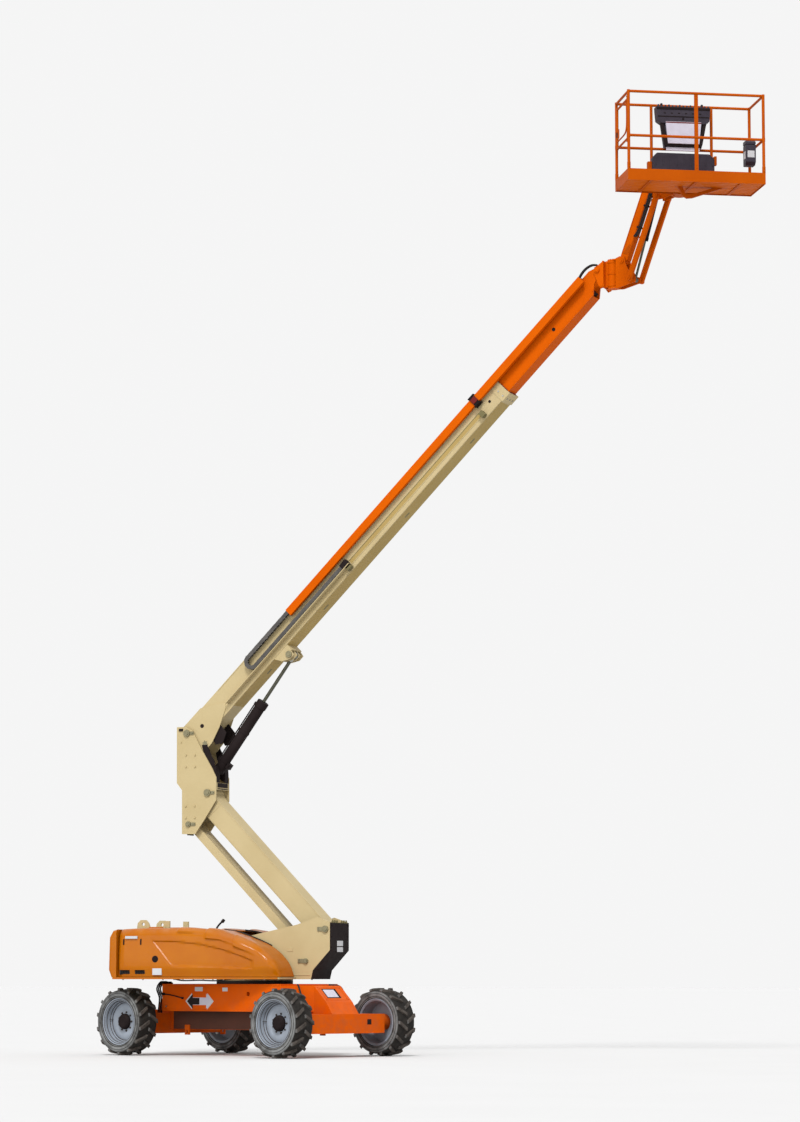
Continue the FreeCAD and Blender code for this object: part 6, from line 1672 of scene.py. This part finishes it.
# ---------------------------------------------------------------------------
# Platform
# ---------------------------------------------------------------------------
@dataclass
class Platform:
    """Floor, rails, gate, controls and boxes of the work platform."""

    half: float = 0.915
    near: float = -0.980
    far: float = -0.220
    middle: float = 0.590
    rail: float = 0.018

    def build_floor(self) -> None:
        """Build the raised grip pattern, the toe board folds and the beams below, whose lighter orange is
        painted light on the underside.
        """
        dress(("platform_floor", "platform_rails", "platform_gate"), Finish.CAGE)
        grip = Shape("floor_grip", PLATFORM)
        for row in range(12):
            for column in range(30):
                across = -0.87 + 0.06 * column + 0.03 * (row % 2)
                up = -0.93 + 0.06 * row
                if across > 0.88:
                    continue
                lean = 0.35 if (row + column) % 2 else -0.35
                spine = Vector((0.016 * math.cos(lean * 2.2), 0.016 * math.sin(lean * 2.2), 0))
                wide = Vector((-spine.y, spine.x, 0)) * 0.28
                base = Vector((across, up, 0.0342))
                ring = [base - spine, base - wide, base + spine, base + wide]
                crest = [base + (point - base) * 0.55 + Vector((0, 0, 0.0028)) for point in ring]
                grip.loft([ring, crest])
        grip.finish("platform", Finish.CAGE)
        folds = Shape("toe_board_folds", PLATFORM)
        folds.block(
            (-self.half + 0.01, self.near - 0.0005, 0.118), (self.half - 0.01, self.near + 0.014, 0.126)
        )
        for spot in (-0.60, -0.30, 0.30, 0.60):
            folds.block((spot - 0.015, self.near + 0.008, 0.034), (spot + 0.015, self.near + 0.022, 0.148))
            folds.block((spot - 0.015, self.far - 0.022, 0.034), (spot + 0.015, self.far - 0.008, 0.148))
        folds.finish("platform", Finish.CAGE, bevel=0.0015)
        plates = Shape("toe_board_plates", PLATFORM)
        plates.block((-0.16, self.near - 0.0012, 0.045), (0.22, self.near + 0.001, 0.105))
        plates.finish("platform", Finish.CAGE, bevel=0.0005)
        # The ridges under the floor are painted lighter than the platform: painted light on the underside.
        beams = Shape("floor_ridges", PLATFORM)
        for row in range(8):
            spot = self.near + 0.030 + 0.088 * row
            beams.block((-self.half + 0.012, spot, 0.012), (self.half - 0.012, spot + 0.074, 0.0262))
        beams.finish("platform", Finish.FLOOR, bevel=0.003)

    def build_joints(self) -> None:
        """Add sockets and bolts where the rails meet."""
        sockets = Shape("rail_sockets", PLATFORM)
        x_end = self.half - self.rail
        for across in (-x_end, x_end):
            for up in (self.near + self.rail, self.far - self.rail):
                sockets.rod((across, up, 0.150), (across, up, 0.235), 0.0225, 20)
                sockets.rod(
                    (across, up, self.middle - 0.026), (across, up, self.middle + 0.026), 0.0215, 20
                )
        for across in (-0.430, 0.380):
            sockets.rod(
                (across, self.far - self.rail, 0.150), (across, self.far - self.rail, 0.235), 0.0225, 20
            )
        sockets.finish("platform", Finish.CAGE, bevel=0.002)
        bolts = Shape("rail_bolts", PLATFORM)
        for across in (-x_end, x_end):
            for up, out in ((self.near + self.rail, -1), (self.far - self.rail, 1)):
                for level in (0.17, 0.21):
                    bolts.bolt((across, up + out * 0.0225, level), (0, out, 0), size=0.007)
        seats = [(0.0, self.near + 0.0105, level) for level in (0.18, 0.22, 1.10, 1.14)]
        bolts.bolts(seats, RIGHT, size=0.006)
        bolts.finish("platform", Finish.CAGE)

    def build_gate(self) -> None:
        """Add the gate's loop, latch and kick plate."""
        x_end = -(self.half - self.rail)
        loop = Shape("gate_loops", PLATFORM)
        near, far = self.near + self.rail + 0.055, self.far - self.rail - 0.055
        inset = near + 0.060
        loop.tube([
            (x_end, far - 0.01, 1.085), (x_end, inset + 0.12, 1.085), (x_end, inset + 0.03, 1.05),
            (x_end, inset, 0.96), (x_end, inset, 0.80), (x_end, inset + 0.03, 0.70),
            (x_end, inset + 0.14, 0.655), (x_end, far - 0.01, 0.650),
        ], 0.010)
        loop.block((x_end - 0.004, far - 0.10, 0.68), (x_end + 0.004, far - 0.004, 0.80))
        loop.finish("platform_gate", Finish.CAGE, bevel=0.0015)
        latch = Shape("gate_latch", PLATFORM)
        latch.block((x_end - 0.014, far - 0.02, 0.705), (x_end + 0.014, far + 0.030, 0.775))
        latch.rod((x_end, far + 0.005, 0.775), (x_end, far + 0.005, 0.81), 0.008, 12)
        latch.finish("platform_gate", Finish.BLACK, bevel=0.003)

    def build_console(self) -> None:
        """Build the console with its toothed head, neck, panels, sticks and hangers."""
        face, back = self.far - 0.190, self.far - 0.050
        shell = Shape("console_shell", PLATFORM)
        head = [
            (-0.400, 1.125), (-0.396, 1.060), (-0.385, 0.940), (-0.330, 0.902), (0.260, 0.902),
            (0.315, 0.940), (0.326, 1.060), (0.330, 1.125),
        ]
        shell.prism(Plane.SIDE, head, face, back)
        neck = [(-0.330, 0.912), (-0.285, 0.585), (0.215, 0.585), (0.260, 0.912)]
        shell.prism(Plane.SIDE, neck, self.far - 0.150, self.far - 0.070)
        for index in range(15):
            spot = -0.380 + 0.048 * index
            crest = 1.150 if index % 3 else 1.158
            crown = [(spot, 1.118), (spot + 0.004, crest), (spot + 0.024, crest), (spot + 0.028, 1.118)]
            shell.prism(Plane.SIDE, crown, self.far - 0.176, self.far - 0.150)
        for low in (-0.290, 0.200):
            shell.block((low, self.far - 0.060, 1.060), (low + 0.050, self.far - 0.006, 1.1535))
        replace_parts(shell.finish("platform", Finish.DARK, bevel=0.006), "control_console")
        guard = Shape("console_guard", PLATFORM)
        guard.block((-0.392, face - 0.006, 1.085), (0.322, face + 0.004, 1.118))
        guard.block((-0.380, face - 0.004, 0.985), (0.310, face + 0.004, 1.000))
        for outline in (
            [(-0.345, 0.905), (-0.300, 0.905), (-0.235, 0.620), (-0.290, 0.620)],
            [(0.230, 0.905), (0.275, 0.905), (0.220, 0.620), (0.165, 0.620)],
        ):
            guard.prism(Plane.SIDE, outline, self.far - 0.178, self.far - 0.140)
        guard.block((-0.285, self.far - 0.178, 0.600), (0.215, self.far - 0.070, 0.628))
        guard.finish("platform", Finish.BLACK, bevel=0.003)
        panel = Shape("console_panels", PLATFORM)
        panel.prism(
            Plane.SIDE, [(-0.245, 0.632), (0.175, 0.632), (0.205, 0.925), (-0.275, 0.925)],
            self.far - 0.1955, self.far - 0.149,
        )
        panel.block((-0.262, self.far - 0.152, 0.545), (0.190, self.far - 0.142, 0.592))
        panel.finish("platform", Finish.PALE, bevel=0.003)
        line = Shape("console_lines", PLATFORM).block(
            (-0.272, self.far - 0.1972, 0.905), (0.202, self.far - 0.1950, 0.920)
        )
        line.finish("platform", Finish.RED)
        rows = Shape("console_switches", PLATFORM)
        for column in range(6):
            low = (-0.300 + 0.095 * column, face - 0.0025, 1.030)
            rows.block(low, (low[0] + 0.030, face + 0.005, low[2] + 0.014))
        rows.rod((-0.04, face + 0.002, 0.965), (-0.04, face - 0.006, 0.965), 0.014, 20)
        rows.finish("platform", Finish.BLACK, bevel=0.002)
        sticks = Shape("console_sticks", PLATFORM)
        for spot in (-0.315, 0.230):
            deck = (spot, (face + back) / 2 + 0.02, 1.125)
            sticks.lathe(
                deck, UP,
                [
                    (0, 0.001), (0, 0.034), (0.010, 0.031), (0.018, 0.020), (0.024, 0.018), (0.030, 0.009),
                    (0.030, 0.001),
                ],
                28,
            )
            sticks.tube([deck, (deck[0], deck[1], 1.165), (deck[0] + 0.004, deck[1] - 0.004, 1.180)], 0.007)
            sticks.lathe((deck[0] + 0.004, deck[1] - 0.004, 1.150), UP, [
                (0, 0.001), (0, 0.013), (0.012, 0.016), (0.026, 0.0165), (0.034, 0.013), (0.038, 0.001),
            ], 24)
        sticks.rod((0.250, back - 0.02, 1.120), (0.250, back - 0.02, 1.186), 0.008, 12)
        sticks.finish("platform", Finish.BLACK, bevel=0.0)

    def build_boxes(self) -> None:
        """Build the lower box with its ribs and the document box with its lid."""
        face, back = self.far - 0.130, self.far - 0.0378
        lower = Shape("lower_box", PLATFORM)
        outline = [
            (-0.445, 0.250), (-0.395, 0.172), (0.345, 0.172), (0.395, 0.250), (0.395, 0.450),
            (0.330, 0.520), (-0.380, 0.520), (-0.445, 0.450),
        ]
        lower.prism(Plane.SIDE, outline, face, back)
        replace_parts(lower.finish("platform", Finish.DARK, bevel=0.012), "platform_power_box")
        ribs = Shape("lower_box_ribs", PLATFORM)
        for index in range(9):
            spot = -0.40 + 0.095 * index
            ribs.block((spot, face - 0.0045, 0.355), (spot + 0.014, face + 0.006, 0.475))
        ribs.finish("platform", Finish.DARK, bevel=0.002)
        tabs = Shape("lower_box_tabs", PLATFORM)
        tabs.block((0.3955, face + 0.02, 0.380), (0.430, back, 0.500))
        tabs.block((-0.500, face + 0.02, 0.152), (-0.4455, back, 0.400))
        tabs.finish("platform", Finish.CAGE, bevel=0.004)
        box = Shape("document_box", PLATFORM)
        left, right = self.half - 0.169, self.half - 0.0360
        box.prism(Plane.CROSS, [
            (self.far - 0.419, 0.372), (self.far - 0.372, 0.331), (self.far - 0.261, 0.331),
            (self.far - 0.261, 0.600), (self.far - 0.419, 0.600),
        ], left, right)
        box.prism(Plane.CROSS, [
            (self.far - 0.420, 0.606), (self.far - 0.260, 0.606), (self.far - 0.260, 0.659),
            (self.far - 0.385, 0.659), (self.far - 0.420, 0.640),
        ], left - 0.001, right)
        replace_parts(box.finish("platform", Finish.DARK, bevel=0.006), "tool_box")
        clasp = Shape("document_box_plate", PLATFORM)
        clasp.block((left - 0.0015, self.far - 0.385, 0.420), (left + 0.001, self.far - 0.295, 0.520))
        clasp.block((left + 0.020, self.far - 0.4205, 0.430), (right - 0.020, self.far - 0.4185, 0.520))
        clasp.finish("platform", Finish.LABEL, bevel=0.0005)

    def build_mount(self) -> None:
        """Dress the mount behind the platform with ribs and bolts."""
        dress(("platform_mount",), Finish.CAGE)
        ribs = Shape("mount_ribs", PLATFORM)
        for spot in (-0.075, 0.067):
            ribs.prism(
                Plane.CROSS,
                [
                    (self.far + 0.110, 0.037), (self.far + 0.002, 0.037), (self.far + 0.002, 0.362),
                    (self.far + 0.110, 0.362),
                ],
                spot, spot + 0.008,
            )
        ribs.finish("platform", Finish.CAGE, bevel=0.002)
        heads = Shape("mount_bolts", PLATFORM)
        for across in (-0.085, 0.085):
            for up in (0.06, 0.14, 0.26, 0.34):
                heads.bolt((across, self.far + 0.110, up), (0, 1, 0), size=0.009)
        heads.bolts([(*spot, 0.384) for spot in circle(0.055, 8)], UP, size=0.007)
        heads.finish("platform", Finish.STEEL)

    def build(self) -> None:
        """Build all of the platform's dressing."""
        self.build_floor()
        self.build_joints()
        self.build_gate()
        self.build_console()
        self.build_boxes()
        self.build_mount()


# ---------------------------------------------------------------------------
# Studio
# ---------------------------------------------------------------------------
@dataclass
class Studio:
    """Pale floor, soft light and the camera."""

    camera_place: Point = (17.644, -44.970, 1.08)
    heading: float = 22.0
    pitch: float = 6.568
    lens: float = 115.508
    reach: float = 260.0
    floor_tones: tuple[Colour, Colour] = ((0.617, 0.617, 0.617), (0.607, 0.607, 0.607))
    sky_bright_way: Point = (-0.37, 0.93, 0.35)
    sky_ramp: tuple[float, float, float, float] = (-0.9, 0.1, 0.45, 0.915)

    def build_floor(self) -> None:
        """Lay the floor."""
        mesh = bpy.data.meshes.new("studio_floor")
        reach = self.reach
        mesh.from_pydata(
            [(-reach, -reach, 0), (reach, -reach, 0), (reach, reach, 0), (-reach, reach, 0)], [],
            [(0, 1, 2, 3)],
        )
        floor = bpy.data.objects.new("studio_floor", mesh)
        bpy.context.scene.collection.objects.link(floor)
        graph = Graph("studio_floor")
        shade = graph.mix(graph.ramp(graph.noise(0.6, 3.0), 0.3, 0.7), *self.floor_tones)
        graph.links.new(shade, graph.shader.inputs["Base Color"])
        graph.shader.inputs["Roughness"].default_value = 0.9
        graph.shader.inputs["Specular IOR Level"].default_value = 0.0
        mesh.materials.append(graph.material)

    def build_light(self) -> None:
        """Set the even sky, the key light and the fill."""
        world = bpy.data.worlds.new("studio_sky")
        world.use_nodes = True
        nodes, links = world.node_tree.nodes, world.node_tree.links
        sky = nodes["Background"]
        facing = nodes.new("ShaderNodeVectorMath")
        facing.operation = "DOT_PRODUCT"
        links.new(nodes.new("ShaderNodeTexCoord").outputs["Generated"], facing.inputs[0])
        facing.inputs[1].default_value = self.sky_bright_way
        shade = nodes.new("ShaderNodeMapRange")
        links.new(facing.outputs["Value"], shade.inputs["Value"])
        for name, value in zip(("From Min", "From Max", "To Min", "To Max"), self.sky_ramp):
            shade.inputs[name].default_value = value
        links.new(shade.outputs["Result"], sky.inputs["Color"])
        sky.inputs["Strength"].default_value = 1.0
        bpy.context.scene.world = world
        for name, strength, spread, aim in (
            ("key_sun", 2.4, 15.0, (-0.20, 0.66, -0.80)), ("fill_sun", 1.2, 50.0, (0.10, 0.95, -0.20)),
        ):
            lamp = bpy.data.lights.new(name, "SUN")
            lamp.energy = strength
            lamp.angle = math.radians(spread)
            holder = bpy.data.objects.new(name, lamp)
            holder.rotation_mode = "QUATERNION"
            holder.rotation_quaternion = Vector(aim).to_track_quat("-Z", "Y")
            bpy.context.scene.collection.objects.link(holder)

    def build_camera(self) -> None:
        """Stand the camera low and far back."""
        data = bpy.data.cameras.new("camera")
        data.sensor_width = 36.0
        data.lens = self.lens
        data.clip_start, data.clip_end = 1.0, 600.0
        camera = bpy.data.objects.new("camera", data)
        turn, rise = math.radians(self.heading), math.radians(self.pitch)
        aim = Vector((-math.sin(turn) * math.cos(rise), math.cos(turn) * math.cos(rise), math.sin(rise)))
        camera.location = self.camera_place
        camera.rotation_mode = "QUATERNION"
        camera.rotation_quaternion = aim.to_track_quat("-Z", "Y")
        bpy.context.scene.collection.objects.link(camera)
        bpy.context.scene.camera = camera

    def build(self) -> None:
        """Build the studio."""
        self.build_camera()
        self.build_floor()
        self.build_light()
        bpy.context.scene.view_settings.view_transform = "Standard"


def main() -> None:
    """Build every sub-assembly in order."""
    logging.basicConfig(level=logging.INFO, format="%(message)s")
    Studio().build()
    for corner in ("front_left", "front_right", "rear_left", "rear_right"):
        Wheel(corner).build()
    for part in (Chassis(), Turntable(), Tower(), Upright(), MainBoom(), FlyBoom(), Jib(), Platform()):
        LOG.info("building %s", type(part).__name__)
        part.build()


if __name__ == "__main__":
    main()
